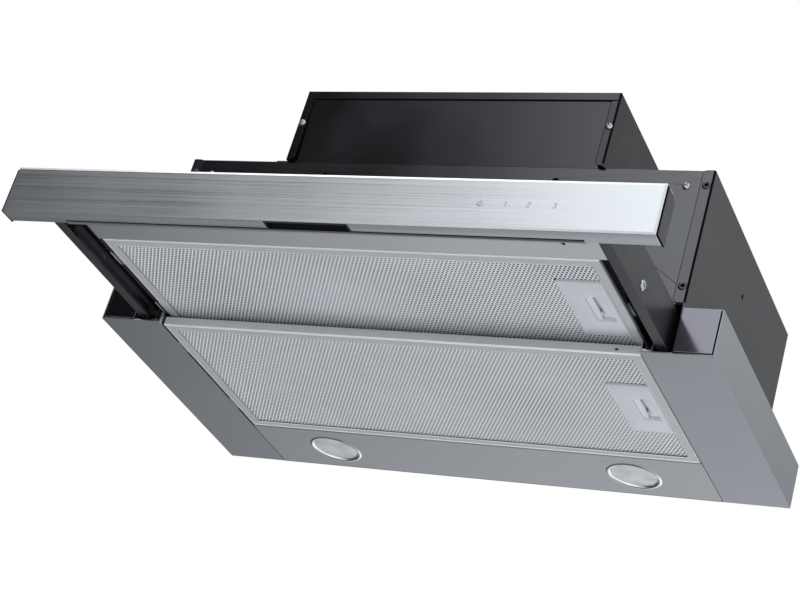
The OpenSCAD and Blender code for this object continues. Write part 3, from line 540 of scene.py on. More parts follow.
def expanded_sheet(x0, x1, y0, y1, z, hole):
    """Expanded metal: tilted strands that zigzag and wave along Y, crossing their neighbours at every
    other bend. Their tilt drifts over the sheet. Nothing is made inside the hole (x, y0, y1)."""
    cols = int(round((x1 - x0) / (PITCH / 2)))
    rows = int(round((y1 - y0) / ROW))
    step, gap = (x1 - x0) / cols, (y1 - y0) / rows
    half_w, half_t = STRAND_WIDE / 2, STRAND_THICK / 2
    rng = random.Random(SEED)
    waves = [(rng.uniform(0.01, 0.05), rng.uniform(-0.05, 0.05), rng.uniform(0, 6.28))
             for _ in range(LEAN_WAVES)]
    shape = Shape()
    for i in range(cols + 1):
        xc = x0 + i * step
        start = None
        for j in range(rows + 1):
            y = y0 + j * gap
            turn = 1 if (i + j) % 2 else -1
            x = min(max(xc + STRAND_SWAY * turn, x0), x1)
            if x > hole[0] and hole[1] < y < hole[2]:
                start = None
                continue
            wave = sum(math.sin(a * x + b * y + c) for a, b, c in waves) / len(waves)
            lean = math.radians(STRAND_LEAN + LEAN_CHANGE * wave)
            ca, sa = math.cos(lean), math.sin(lean)
            ring = [(x + a * ca - b * sa, y, z + STRAND_RISE * turn + a * sa + b * ca)
                    for a, b in ((-half_w, -half_t), (half_w, -half_t), (half_w, half_t), (-half_w, half_t))]
            here = len(shape.points)
            shape.points += ring
            if start is not None:
                for k in range(4):
                    n = (k + 1) % 4
                    shape.faces.append((start + k, start + n, here + n, here + k))
                    shape.marks.append(0)
            start = here
    return shape


def make_filter(side, body, body_latch):
    """One grease filter: rim, tabs, meshes, inner layers, and the latch in its plate."""
    fr, me = "filter_frame_" + side, "filter_mesh_" + side
    ho, la = "latch_housing_" + side, "latch_" + side
    low, high = mm(fr)
    mlow, mhigh = mm(me)
    hlow, hhigh = mm(ho)
    lhigh = mm(la)[1]
    x0, x1 = -high[0], high[0]
    y0, y1, z0, h = low[1], high[1], low[2], high[2] - low[2]
    mid = (y0 + y1) / 2

    # The rim. Its edges that look to the front and down catch the light, and they also get a painted
    # highlight: a much lighter aluminium.
    s = swept_frame(x0, x1, y0, y1, z0, h)
    for k, face in enumerate(s.faces):
        at = [sum(s.points[n][axis] for n in face) / len(face) for axis in (0, 1, 2)]
        fold = y1 - RIM - 0.3 < at[1] < y1 - RIM + 0.55 and at[2] < z0 + 0.72
        wall = y1 - 2.6 < at[1] < y1 - 2.0 and at[2] < z0 + 0.6
        if fold or wall or (at[1] < y0 + 1.4 and at[2] < z0 + 1.5):
            s.marks[k] = 1
    o = piece("filter_rim_" + side, s, [alu_frame, rim_painted_highlight], body, 35)
    slot = rounded_box((x1 - 3, mid - SLOT_HALF, z0 + SLOT_LOW), (x1 + 3, mid + SLOT_HALF, z0 + SLOT_HIGH), 0)
    drain = bar([(x1 - DRAIN_IN + DRAIN_HALF_W * math.cos(a), z0 + DRAIN_UP + DRAIN_HALF_H * math.sin(a))
                 for a in [math.pi * k / 12 for k in range(24)]], 1, y0 - 2, y0 + 3)
    cut(o, [slot, drain])
    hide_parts(fr)
    tabs = Shape()
    for share in TAB_SHARES:
        yc = y0 + share * (y1 - y0)
        tabs.join(rounded_box((low[0], yc - TAB_HALF, z0 + TAB_LOW),
                              (x0 + 1.6, yc + TAB_HALF, z0 + TAB_HIGH), 0.25))
    piece("filter_tabs_" + side, tabs, [alu_frame], body, 35)

    # The mesh around the latch's plate, and its inner layers, painted dark as painted shade. The rear
    # filter's upper side shows when it swings down, so it has a sheet there too.
    hole = (hlow[0] - 0.4, hlow[1] - 0.3, hhigh[1] + 0.3)
    inset = RIM - MESH_TUCK
    span = (x0 + inset, x1 - inset, y0 + inset, y1 - inset)
    sheet = expanded_sheet(*span, z0 + LOWER_MESH, hole)
    if side == "rear":
        sheet.join(expanded_sheet(*span, mhigh[2] - UPPER_MESH, hole))
    o = piece("filter_weave_" + side, sheet, [alu_strand], body)
    # The inner layers: a dark block behind the mesh, painted shade that makes the holes read dark.
    inner = rounded_box((mlow[0], mlow[1], z0 + 3.0), (mhigh[0], mhigh[1], mhigh[2] - 1.1), 0.3)
    p = piece("filter_stack_" + side, inner, [stack_painted_shade], body)
    cut(p, [rounded_box((hlow[0], hlow[1], z0 - 1), (mhigh[0] + 2, hhigh[1], mhigh[2] + 2), 0)])
    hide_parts(me)

    # The latch's plate, and what is fixed behind it.
    o = piece("latch_plate_" + side, latch_plate(hlow, hhigh, x1, mid, z0), [alu_plate], body,
              30)
    way = SLOT_HALF + 0.1
    cut(o, [rounded_box((x1 - RIM - 12, mid - way, z0 + SLOT_LOW), (x1 + 1, mid + way, z0 + SLOT_HIGH), 0)])
    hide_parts(ho)
    backs = Shape()
    side_y = SLOT_HALF + 0.2
    for ya, yb, za in ((hlow[1], mid - side_y, 1.45), (mid + side_y, hhigh[1], 1.45),
                       (mid - side_y, mid + side_y, 3.8)):
        backs.join(rounded_box((x1 - RIM + 0.05, ya, z0 + za), (hhigh[0], yb, z0 + HOUSING_TOP), 0.2))
    # The recess ends at end; its foot is fixed, the thumb piece and its bolt slide.
    end = x1 - RIM - POCKET_IN + POCKET_W - 0.3
    backs.join(rounded_box((end - 11.0, mid + 9.5, z0 + 2.9), (end, mid + 19.1, z0 + 5.0), 0.9, 3))
    backs.join(rounded_box((end - 11.0, mid + 9.5, z0 + 1.3), (end, mid + 10.3, z0 + 5.2), 0.35, 2))
    piece("latch_back_" + side, backs, [alu_plate], body, 35)

    thumb = rounded_box((end - 6.2, mid - 18.8, z0 + 0.45), (end, mid + 9.4, z0 + 2.3), 0.6, 3)
    thumb.join(rounded_box((end - 2.9, mid - 18.5, z0 + 2.0), (end - 0.1, mid + 8.8, z0 + 5.1), 0.3, 2))
    bolt = rounded_box((end - 5.0, mid - BOLT_HALF, z0 + BOLT_LOW),
                       (lhigh[0], mid + BOLT_HALF, z0 + BOLT_HIGH), 0.4, 2)
    thumb.join(bolt, 1)
    o = piece("latch_slider_" + side, thumb, [alu_plate, slide_mat], body_latch, 35)
    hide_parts(la)


def latch_plate(low, high, x1, mid, z0):
    """The latch's plate: rounded edges and a finger recess whose left side slopes in."""
    px0, px1 = low[0], x1 - RIM
    py0, py1 = low[1], high[1]
    rx0, rx1 = px1 - POCKET_IN, px1 - POCKET_IN + POCKET_W
    ry0, ry1 = mid - POCKET_HALF, mid + POCKET_HALF
    cx, cy = (rx0 + rx1) / 2, mid

    def hit(a, ax0, ax1, ay0, ay1):
        """Where the ray at angle a from the recess's middle leaves a rectangle."""
        dx, dy = math.cos(a), math.sin(a)
        far = 1e9
        if dx > 1e-9:
            far = min(far, (ax1 - cx) / dx)
        if dx < -1e-9:
            far = min(far, (ax0 - cx) / dx)
        if dy > 1e-9:
            far = min(far, (ay1 - cy) / dy)
        if dy < -1e-9:
            far = min(far, (ay0 - cy) / dy)
        return cx + dx * far, cy + dy * far

    def soften(p, ax0, ay0, ay1, r):
        """Rounds the left corners of a rectangle's hit point."""
        x, y = p
        if x < ax0 + r:
            for sy, ey in ((-1, ay0), (1, ay1)):
                if (y - (ey - sy * r)) * sy > 0:
                    ox, oy = ax0 + r, ey - sy * r
                    vx, vy = x - ox, y - oy
                    k = math.hypot(vx, vy) or 1.0
                    return ox + vx / k * r, oy + vy / k * r
        return x, y

    angles = {math.atan2(yy - cy, xx - cx) for xx in (px0, px1) for yy in (py0, py1)}
    angles |= {math.atan2(yy - cy, xx - cx) for xx in (rx0, rx1) for yy in (ry0, ry1)}
    angles |= {2 * math.pi * k / 96 - math.pi for k in range(96)}
    angles = sorted(angles)
    keep = [angles[0]]
    for a in angles[1:]:
        if a - keep[-1] > 0.004:
            keep.append(a)
    angles = keep

    def plate_ring(inset, z):
        """The plate's outline, smaller by inset on three sides."""
        return [(*hit(a, px0 + inset, px1 - 0.02, py0 + inset, py1 - inset), z) for a in angles]

    def recess_ring(left, right, y0, y1, r, z):
        """An outline of the recess; r rounds its two left corners."""
        return [(*soften(hit(a, left, right, y0, y1), left, y0, y1, r), z) for a in angles]

    # From the plate's back round its edge to its face, then into the recess down to its floor.
    zf = z0 + 0.2
    loops = [plate_ring(0.0, z0 + 8.4), plate_ring(0.0, zf + 0.45), plate_ring(0.12, zf + 0.13),
             plate_ring(0.45, zf),
             recess_ring(rx0 - 0.25, rx1 + 0.1, ry0 - 0.25, ry1 + 0.1, 4.2, zf),
             recess_ring(rx0 + 0.05, rx1, ry0, ry1, 4.0, zf + 1.0),
             recess_ring(rx0 + 0.75, rx1, ry0 + 0.2, ry1 - 0.2, 3.6, zf + 0.55),
             recess_ring(rx0 + 4.6, rx1, ry0 + 0.4, ry1 - 0.3, 1.2, zf + 3.0),
             recess_ring(rx0 + 4.8, rx1, ry0 + 0.4, ry1 - 0.3, 1.0, z0 + 6.0)]
    return bridge(loops)


make_filter("front", "drawer", "front_latch")
make_filter("rear", "rear_filter", "rear_latch")


# Lamps

# Width of the ring, gap round the lens, and the lens's height at its middle, its fall and its steps.
RING_WIDE, LENS_GAP = 4.3, 0.15
LENS_LOW, LENS_FALL, LENS_STEP, LENS_RINGS, LENS_TOP = 0.35, 0.9, 0.10, 14, 2.5
LENS_CORE = 0.001


def make_lamp(side):
    """A lamp's bright ring, with its rolled edge, and the shallow prismatic lens in it."""
    low, high = mm("lamp_ring_" + side)
    cx, cy = (low[0] + high[0]) / 2, (low[1] + high[1]) / 2
    outer = (high[0] - low[0]) / 2
    inner = outer - RING_WIDE
    p = [(inner + 0.05, 5.0), (inner, 4.6), (inner, 1.4)]
    p += [(inner + 0.2, 0.6), (inner + 0.7, -0.2), (inner + 1.4, -0.65), (inner + 2.1, -0.8)]
    p += [(inner + 2.9, -0.74), (inner + 3.6, -0.5), (inner + 4.1, -0.2), (outer, -0.02)]
    p += [(inner + 1.6, -0.02), (inner + 1.6, 5.0)]
    o = piece("lamp_bezel_" + side, revolve(p, 96, (cx, cy, 0)), [chrome], "housing", 50)
    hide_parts("lamp_ring_" + side)
    dome = []
    r_lens = inner - LENS_GAP
    for k in range(LENS_RINGS + 1):
        r = r_lens * k / LENS_RINGS
        prism = LENS_STEP if k % 2 and k < LENS_RINGS else 0.0
        dome.append((max(r, LENS_CORE), LENS_LOW + LENS_FALL * (k / LENS_RINGS) ** 2 + prism))
    p = dome + [(r_lens, LENS_TOP), (LENS_CORE, LENS_TOP)]
    o = piece("lamp_glass_" + side, revolve(p, 72, (cx, cy, 0)), [lens_mat], "housing", 60)
    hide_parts("lamp_lens_" + side)


make_lamp("left")
make_lamp("right")


# Screws and rivets

# Radius and height of a pan head, and radius and length of its shank.
PAN_R, PAN_H, SHANK_R, SHANK = 3.5, 2.1, 1.85, 5.9
ARM_PAN_R, ARM_PAN_H, ARM_SHANK = 4.8, 2.5, 1.95
PANEL_SCREW_X, PANEL_SCREW_Z, MOTOR_SCREW_SEAT = 239.3, 165.8, 2.2
# The cross recess: its reach as a share of the head, its arms' half width and slope as shares of
# the reach, and its depth as a share of the head's height. The dome falls by DOME of that height.
CROSS, CROSS_ARM, CROSS_SLOPE, CROSS_DEPTH, DOME = 0.62, 0.22, 0.12, 0.62, 0.75
RIVET_R = 4.1
RIVET_OUTLINE = [(1.5, -3.2), (1.5, 0.55), (1.75, 0.85), (2.2, 1.05), (2.9, 1.0), (3.5, 0.7), (3.95, 0.3),
                 (RIVET_R, 0.0), (2.15, 0.0), (2.15, -3.4), (CORE, -3.4), (CORE, -3.2)]


def screw_head(r, h, cross, steps=48, rings=14):
    """A domed pan head along +Z, seated at zero, with a cross recess."""
    loops = []
    for k in range(rings, 0, -1):
        q = k / rings
        ring = []
        for i in range(steps):
            a = 2 * math.pi * i / steps
            x, y = r * q * math.cos(a), r * q * math.sin(a)
            z = h * (1 - DOME * q ** 4)
            past_x = max(0.0, abs(y) - cross * CROSS_ARM) / (cross * CROSS_SLOPE)
            past_y = max(0.0, abs(x) - cross * CROSS_ARM) / (cross * CROSS_SLOPE)
            arm_x = max(0.0, 1 - past_x) if abs(x) < cross else 0.0
            arm_y = max(0.0, 1 - past_y) if abs(y) < cross else 0.0
            z -= h * CROSS_DEPTH * max(arm_x, arm_y)
            ring.append((x, y, z))
        loops.append(ring)
    base = [(r * math.cos(2 * math.pi * i / steps), r * math.sin(2 * math.pi * i / steps), 0.0)
            for i in range(steps)]
    mid = [(x, y, h * 0.12) for x, y, _ in base]
    return bridge([base, mid] + loops)


def facing(axis, sign):
    """Turns +Z to the given axis and direction."""
    d = [0, 0, 0]
    d[axis] = sign
    return Vector((0, 0, 1)).rotation_difference(Vector(d)).to_matrix()


def heads(name, node, places, spins):
    """A pan-head screw in each place, facing the front, its cross turned by its spin in degrees."""
    s = Shape()
    shank = [(CORE, 0.0), (SHANK_R, 0.0), (SHANK_R, -SHANK + 0.6), (SHANK_R * 0.5, -SHANK), (CORE, -SHANK)]
    for place, spin in zip(places, spins):
        one = screw_head(PAN_R, PAN_H, PAN_R * CROSS)
        one.move(turn=Matrix.Rotation(math.radians(spin), 3, "Z"))
        one.join(revolve(shank, 20, (0, 0, 0)))
        one.move(place, facing(1, -1))
        s.join(one)
    o = piece(name, s, [screw_steel], "housing", 38)
    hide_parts(node)


panel_y = mm("front_panel")[0][1]
heads("panel_screw_heads", "panel_screws",
      [(x, panel_y, PANEL_SCREW_Z) for x in (-PANEL_SCREW_X, PANEL_SCREW_X)], (20, 55))
low, high = mm("motor_screws")
heads("motor_screw_heads", "motor_screws",
      [(x, low[1] + MOTOR_SCREW_SEAT, (low[2] + high[2]) / 2) for x in (low[0] + PAN_R, high[0] - PAN_R)],
      (35, 10))

# The arms' screws face outwards, left and right.
low, high = mm("arm_screws")
arm_y = (low[1] + ARM_PAN_R, high[1] - ARM_PAN_R)
arm_z = (low[2] + high[2]) / 2
arm_face = high[0] - 2.6
shank = [(CORE, 0.0), (SHANK_R, 0.0), (SHANK_R, -ARM_SHANK), (CORE, -ARM_SHANK)]
screws = Shape()
for sx in (-1, 1):
    for k, y in enumerate(arm_y):
        one = screw_head(ARM_PAN_R, ARM_PAN_H, 2.9)
        one.move(turn=Matrix.Rotation(math.radians(25 + 30 * k), 3, "Z"))
        one.join(revolve(shank, 20, (0, 0, 0)))
        one.move((sx * arm_face, y, arm_z), facing(0, sx))
        screws.join(one)
o = piece("arm_screw_heads", screws, [screw_steel], "drawer", 38)
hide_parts("arm_screws")

low, high = mm("flange_rivets")
rivets = Shape()
for x in (low[0] + RIVET_R, high[0] - RIVET_R):
    for z in (low[2] + RIVET_R, high[2] - RIVET_R):
        one = revolve(RIVET_OUTLINE, 40, (0, 0, 0))
        one.move((x, low[1] + 1.1, z), facing(1, -1))
        rivets.join(one)
rivet_lacquer = paint("rivet_lacquer", (0.008, 0.008, 0.01), 0.3, 0.8)
o = piece("flange_rivet_heads", rivets, [rivet_lacquer], "housing", 40)
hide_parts("flange_rivets")


# Marks on the drawer's front

# Height of the marks' middle, width of their lines, how far they lean, and each one's place in X.
MARK_Z, MARK_LINE, MARK_LEAN = 24.6, 0.42, 0.16
MARK_X = {"lamp": 150.6, "1": 172.0, "2": 191.6, "3": 213.4}


def stroke(points, wide, thick=0.045):
    """A thin raised line in the XZ plane through the points."""
    left, right = [], []
    n = len(points)
    for i, (x, z) in enumerate(points):
        a = points[max(i - 1, 0)]
        b = points[min(i + 1, n - 1)]
        dx, dz = b[0] - a[0], b[1] - a[1]
        k = math.hypot(dx, dz) or 1.0
        nx, nz = -dz / k * wide / 2, dx / k * wide / 2
        left.append((x + nx, z + nz))
        right.append((x - nx, z - nz))
    ring = left + right[::-1]
    front = [(x, -thick, z) for x, z in ring]
    back = [(x, 0.0, z) for x, z in ring]
    s = Shape()
    for i in range(n - 1):
        j = 2 * n - 1 - i
        s.add([front[i], front[i + 1], front[j - 1], front[j]], [(0, 1, 2, 3)])
        s.add([back[i], back[i + 1], back[j - 1], back[j]], [(3, 2, 1, 0)])
    m = len(ring)
    for i in range(m):
        s.add([front[i], front[(i + 1) % m], back[(i + 1) % m], back[i]], [(0, 1, 2, 3)])
    return s


def slant(points):
    """Leans a mark to the right."""
    return [(x + MARK_LEAN * z, z) for x, z in points]


DIGITS = {
    "1": [[(-0.7, 1.5), (0.3, 2.2), (0.3, -2.2)]],
    "2": [arc(0.0, 1.0, 1.2, 165, -35, 10) + [(-1.3, -2.15), (1.35, -2.15)]],
    "3": [arc(0.0, 1.1, 1.1, 150, -80, 10) + arc(0.0, -1.0, 1.25, 80, -150, 12)],
    "lamp": [[(-2.6, -1.5), (2.6, -1.5), (1.1, 1.4), (-1.1, 1.4), (-2.6, -1.5)], [(0.0, 1.4), (0.0, 3.0)],
             arc(0.0, -1.5, 0.9, 200, 340, 8)],
}
fascia_y = mm("fascia")[0][1]
marks = Shape()
for key, x in MARK_X.items():
    for line in DIGITS[key]:
        one = stroke(slant(line), MARK_LINE)
        one.move((x, fascia_y + 0.01, MARK_Z))
        marks.join(one)
piece("touch_marks", marks, [ink], "drawer")


# Seams, folds and clips

# Width of the dark strip of painted shade at a fold, how far it stands proud, and the widths of the two
# flanges.
STRIP, PROUD = 1.7, 0.03
BODY_FLANGE, MOTOR_FLANGE = 11, 8
FLANGE_CORNER, MOTOR_LIP = 4, 8.0
BODY_FOLD = (50.2, 181.8)
MOTOR_FOLD = (184.6, 260.8)


def flange_edge(x_in, x_out, z0, z1, r, top_too):
    """The line round a folded flange: down its inner edge, with rounded corners."""
    line = [(x_out - 1.2, z0)] + arc(x_in + r, z0 + r, r, 270, 180, 8)
    line += arc(x_in + r, z1 - r, r, 180, 90, 8) + [(x_out - 1.2, z1)] if top_too else [(x_in, z1)]
    return line


# Painted shade: dark lines along the body's and the motor box's folded flanges, round their inner edges and
# under the motor box's top lip.
dark = Shape()
motor_x = mm("motor_front")[1][0] + 1.0
low, high = mm("side_panel_right")
body_x, flange_y = high[0], low[1]
motor_y = mm("motor_side_right")[0][1]
lip_z = mm("motor_top")[1][2] - MOTOR_LIP
for sx in (-1, 1):
    for x, y, (z0, z1) in ((body_x, flange_y, BODY_FOLD), (motor_x, motor_y, MOTOR_FOLD)):
        a, b = sorted((sx * (x - STRIP), sx * (x + PROUD)))
        dark.join(rounded_box((a, y - PROUD, z0), (b, y + 1.6, z1), 0))
    body_line = flange_edge(body_x - BODY_FLANGE, body_x, 50.1, BODY_FOLD[1], FLANGE_CORNER, True)
    motor_line = flange_edge(motor_x - MOTOR_FLANGE, motor_x, 183.1, lip_z, FLANGE_CORNER, False)
    for line, y in ((body_line, flange_y), (motor_line, motor_y)):
        one = stroke([(sx * x, z) for x, z in line], 0.5, PROUD)
        dark.join(one.move((0, y, 0)))
lip_x = motor_x - MOTOR_FLANGE
dark.join(rounded_box((-lip_x, motor_y - PROUD, lip_z - 0.75), (lip_x, motor_y + 0.5, lip_z + 0.1), 0))
# Painted shade in the gap where the motor box's right side stands on the body.
a, b = motor_x - 1.0, motor_x + PROUD
dark.join(rounded_box((a, motor_y + 0.5, 182.0), (b, -4, 183.0), 0))
piece("fold_lines", dark, [painted_gap_shade], "housing")


def leaning_sheet():
    """The motor box's front: its foot lies against the body's front panel, its head behind the top lip."""
    low, high = mm("motor_front")
    foot = mm("front_panel")[0][1] - 0.1
    head = low[1] + 0.02
    outline = [(foot, low[2]), (head, lip_z - 0.5), (head, high[2]), (head + 1, high[2]),
               (head + 1, lip_z), (foot + 1, low[2] + 1), (high[1], low[2] + 1), (high[1], low[2])]
    return bar(outline, 0, low[0], high[0])


o = piece("motor_front_sheet", leaning_sheet(), [paint_motor], "housing")
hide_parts("motor_front")

# The bright clip at each skirt's front inner corner: a small frame and the tongue beside it.
clips = Shape()
xi = mm("skirt_right")[0][0]
clip_in, clip_out = xi - 0.02, xi + 1.05
clip_front, clip_back = -287.6, -280.9
for sx in (-1, 1):
    for x0, x1, y0, y1, z0, z1 in (
            (clip_in, clip_out, clip_front, clip_back, 0.2, 3.2),
            (clip_in, clip_out, clip_front, clip_back, 6.6, 10.2),
            (clip_in, clip_out, clip_front, clip_front + 2.4, 3.0, 6.8),
            (clip_in, clip_out, clip_back - 1.7, clip_back, 3.0, 6.8),
            (xi + 0.3, xi + 9.5, -287.98, -286.9, 1.2, 3.4)):
        a, b = sorted((sx * x0, sx * x1))
        clips.join(rounded_box((a, y0, z0), (b, y1, z1), 0.28))
piece("corner_clips", clips, [chrome], "housing", 35)

# Painted shade in the joint between the front and its end caps.
cap_joint_shade = Shape()
lo, hi = mm("end_cap_right")
for sx in (-1, 1):
    a, b = sorted((sx * (lo[0] + 0.02), sx * (hi[0] - 0.02)))
    cap_joint_shade.join(rounded_box((a, lo[1] - 0.06, lo[2] - 0.04), (b, lo[1] + 0.9, hi[2]), 0.12))
    cap_joint_shade.join(rounded_box((a, lo[1] + 0.1, lo[2] - 0.06), (b, hi[1] - 0.5, lo[2] + 1.0), 0.12))
piece("end_cap_seams", cap_joint_shade, [painted_gap_shade], "drawer")

# The rail's folded front lip, and painted shade in the seam along its front edge.
rail_low, rail_high = mm("front_rail")
rail_lip = Shape()
x_end = rail_high[0] - 2.2
y_lip = rail_low[1] - 3.6
rail_y, lip_low, lip_high = rail_low[1], 1.35, 1.95
rail_lip.join(bar([(y_lip, 1.55), (y_lip + 0.3, lip_low), (rail_y + 0.5, lip_low), (rail_y + 0.5, lip_high),
                   (y_lip + 0.1, lip_high)], 0, -x_end, x_end))
rail_lip.join(rounded_box((-x_end, rail_y + 0.2, lip_low), (x_end, rail_y + 0.95, rail_low[2] + 0.4), 0.15))
piece("rail_lip", rail_lip, [steel_rail], "drawer", 35)
seams = Shape()
seams.join(rounded_box((-x_end - 0.2, y_lip - 0.55, 1.86), (x_end + 0.2, y_lip + 0.2, 2.02), 0))
# The three-cornered notch in the rail, near its right end: a dark triangle of painted shade for the hole.
NOTCH_X = 220.6
NOTCH = ((-2.1, 0.1), (2.1, 0.1), (0.3, 4.2))
seams.add([(NOTCH_X + dx, rail_y + dy, z) for z in (1.3, 1.5) for dx, dy in NOTCH],
          [(0, 1, 2), (5, 4, 3), (0, 3, 4, 1), (1, 4, 5, 2), (2, 5, 3, 0)])
piece("rail_seam", seams, [painted_gap_shade], "drawer")


# Finish of the CAD nodes

def sides(*names):
    """Each name with _left and with _right."""
    return [name + end for name in names for end in ("_left", "_right")]


# What each node is finished with; the others are grey plastic.
FINISHES = (
    (paint_side, sides("side_panel")),
    (paint_body, ["front_panel", "top_panel", "back_panel"]),
    (paint_box, sides("motor_side")),
    (paint_motor, ["motor_top", "motor_front"]),
    (paint_arm, ["fascia_back", "drawer_top"] + sides("arm")),
    (steel_front, ["fascia"]),
    (steel_satin, sides("skirt")),
    (steel_panel, ["light_panel"]),
    (steel_rail, ["front_rail"]),
    (slide_mat, sides("runner")),
    (zinc_mat, sides("guide", "slide_bar")),
    (cast, ["motor"]),
    (plastic_black, ["duct_collar", "fan_wheel", "drawer_switch", "finger_pull", "touch_board"]
     + sides("fan_blades")),
    (plastic_cap, sides("end_cap")),
    (plastic_white, ["capacitor"]),
    (rubber_mat, ["cable_gland"]),
)
FINISH = {name: mat for mat, names in FINISHES for name in names}
# Rounding of the sheet parts' edges, in millimetres.
ROUNDINGS = (
    (0.2, ["back_panel", "drawer_top"]),
    (0.25, ["front_panel", "top_panel", "motor_front"] + sides("side_panel", "motor_side", "runner")),
    (0.3, ["motor_top", "light_panel", "finger_pull", "front_rail"] + sides("skirt", "end_cap", "arm")),
    (0.9, ["fascia"]),
)
BEVELLED = {name: width for width, names in ROUNDINGS for name in names}
# Corners closer than this, in metres, are one; edges sharper than this, in degrees, are rounded.
WELD_GAP = 0.00001
BEVEL_FROM = 40
for name, node in frame["nodes"].items():
    mat = FINISH.get(name, plastic_grey)
    node.data.materials.clear()
    node.data.materials.append(mat)
    for f in node.data.polygons:
        f.material_index = 0
    if name in BEVELLED:
        weld = node.modifiers.new("weld", "WELD")
        weld.merge_threshold = WELD_GAP
        soft = node.modifiers.new("edges", "BEVEL")
        soft.width = BEVELLED[name] * MM
        soft.segments = 2
        soft.limit_method = "ANGLE"
        soft.angle_limit = math.radians(BEVEL_FROM)
        soft.use_clamp_overlap = True
        soft.miter_outer = "MITER_ARC"


# Stage, light and camera

FLOOR_HALF, FLOOR_Z = 14.0, -1.30
COOL_WHITE = (0.97, 0.985, 1.0, 1)
# Brightness of the walls that glossy rays see, and of the even light that matt surfaces get.
SCREEN, OVERHEAD, LOWER, FLOOR_GLOW = 1.95, 3.1, 2.1, 0.8
BACK_LOW, BACK_HIGH = 0.34, 0.68
EVEN_LIGHT = 0.35


def stage():
    """A pale floor. It is clear to the camera from below, and to glossy rays, which see the world."""
    size, z = FLOOR_HALF, FLOOR_Z
    mesh = bpy.data.meshes.new("floor")
    corners = [(-size, -size, z), (size, -size, z), (size, size, z), (-size, size, z)]
    mesh.from_pydata(corners, [], [(0, 1, 2, 3)])
    floor = bpy.data.objects.new("floor", mesh)
    bpy.context.scene.collection.objects.link(floor)
    m, n, l, s = material("floor_pale", (0.74, 0.75, 0.77), 0.0, 0.6, 0.3)
    cloud = ramp(n, l, noise(n, l, 3.0), 0.0, 1.0)
    l.new(two_colours(n, l, cloud, (0.73, 0.74, 0.76), (0.76, 0.77, 0.79)), s.inputs["Base Color"])
    geo = n.new("ShaderNodeNewGeometry")
    path = n.new("ShaderNodeLightPath")
    both = n.new("ShaderNodeMath")
    both.operation = "MULTIPLY_ADD"
    both.use_clamp = True
    l.new(geo.outputs["Backfacing"], both.inputs[0])
    l.new(path.outputs["Is Camera Ray"], both.inputs[1])
    l.new(path.outputs["Is Glossy Ray"], both.inputs[2])
    clear = n.new("ShaderNodeBsdfTransparent")
    mix = n.new("ShaderNodeMixShader")
    l.new(both.outputs[0], mix.inputs[0])
    l.new(s.outputs[0], mix.inputs[1])
    l.new(clear.outputs[0], mix.inputs[2])
    l.new(mix.outputs[0], n["Material Output"].inputs["Surface"])
    mesh.materials.append(m)
    floor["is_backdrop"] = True


def world():
    """Soft studio. Glossy rays see its walls: a tall bright screen at the front right with a dark
    corner left of it, an even back wall, and a floor that gets darker to the left."""
    w = bpy.data.worlds.new("studio")
    bpy.context.scene.world = w
    w.use_nodes = True
    n, l = w.node_tree.nodes, w.node_tree.links
    n.clear()
    where = n.new("ShaderNodeTexCoord")
    axes = n.new("ShaderNodeSeparateXYZ")
    l.new(where.outputs["Generated"], axes.inputs[0])
    x, y, z = axes.outputs
    out = n.new("ShaderNodeOutputWorld")

    def smooth(value, a, b, lo, hi):
        """Goes softly from lo to hi as the value goes from a to b."""
        r = n.new("ShaderNodeMapRange")
        r.interpolation_type = "SMOOTHSTEP"
        for key, v in (("From Min", a), ("From Max", b), ("To Min", lo), ("To Max", hi)):
            r.inputs[key].default_value = v
        l.new(value, r.inputs["Value"])
        return r.outputs["Result"]

    def maths(kind, *values):
        """A maths node on plain numbers or on other nodes' values."""
        m = n.new("ShaderNodeMath")
        m.operation = kind
        for i, v in enumerate(values):
            if isinstance(v, (int, float)):
                m.inputs[i].default_value = v
            else:
                l.new(v, m.inputs[i])
        return m.outputs[0]

    def blend(a, b, share):
        """Goes from a to b as share goes from 0 to 1."""
        rest = maths("SUBTRACT", 1.0, share)
        return maths("ADD", maths("MULTIPLY", a, rest), maths("MULTIPLY", b, share))

    # The front wall: the screen and its dark corner, then what is over it and under it.
    edge = maths("ADD", x, smooth(z, 0.54, 0.95, 0.0, 0.32))
    screen = maths("MULTIPLY", smooth(edge, -0.46, -0.31, 0.02, SCREEN), smooth(x, -0.24, 0.10, 1.0, 0.55))
    front = maths("ADD", screen, smooth(x, -0.92, -0.76, 0.30, 0.0))
    overhead = maths("MULTIPLY", smooth(x, -0.625, -0.52, 0.04, OVERHEAD), smooth(x, -0.44, -0.31, 1.0, 0.5))
    front = blend(front, overhead, smooth(z, 0.60, 0.70, 0.0, 1.0))
    lower = maths("MULTIPLY", smooth(x, -0.56, -0.42, 0.02, LOWER), smooth(x, -0.42, -0.30, 1.0, 0.6))
    front = blend(lower, front, smooth(z, 0.25, 0.35, 0.0, 1.0))
    # The back wall, and the upper half of the room.
    back_wall = smooth(z, 0.34, 0.52, BACK_LOW, BACK_HIGH)
    above = blend(front, back_wall, smooth(y, -0.30, 0.30, 0.0, 1.0))
    # The floor, seen at a flat and at a steep angle, its glow at the front and the wall's foot behind.
    flat = smooth(x, -0.72, -0.36, 0.06, 0.60)
    flat = maths("ADD", flat, smooth(x, -0.25, -0.05, 0.0, 0.55))
    steep = smooth(x, 0.12, 0.28, 0.12, 0.75)
    below = blend(steep, flat, smooth(z, -0.75, -0.50, 0.0, 1.0))
    glow = maths("MULTIPLY", smooth(y, -0.45, -0.20, FLOOR_GLOW, 0.0), smooth(z, -0.70, -0.50, 1.0, 0.0))
    below = maths("ADD", below, glow)
    low_wall = maths("MULTIPLY", smooth(y, 0.85, 0.97, 0.0, 0.45), smooth(z, -0.40, -0.25, 0.0, 1.0))
    below = maths("ADD", below, low_wall)
    wall = blend(below, above, smooth(z, -0.12, 0.12, 0.0, 1.0))
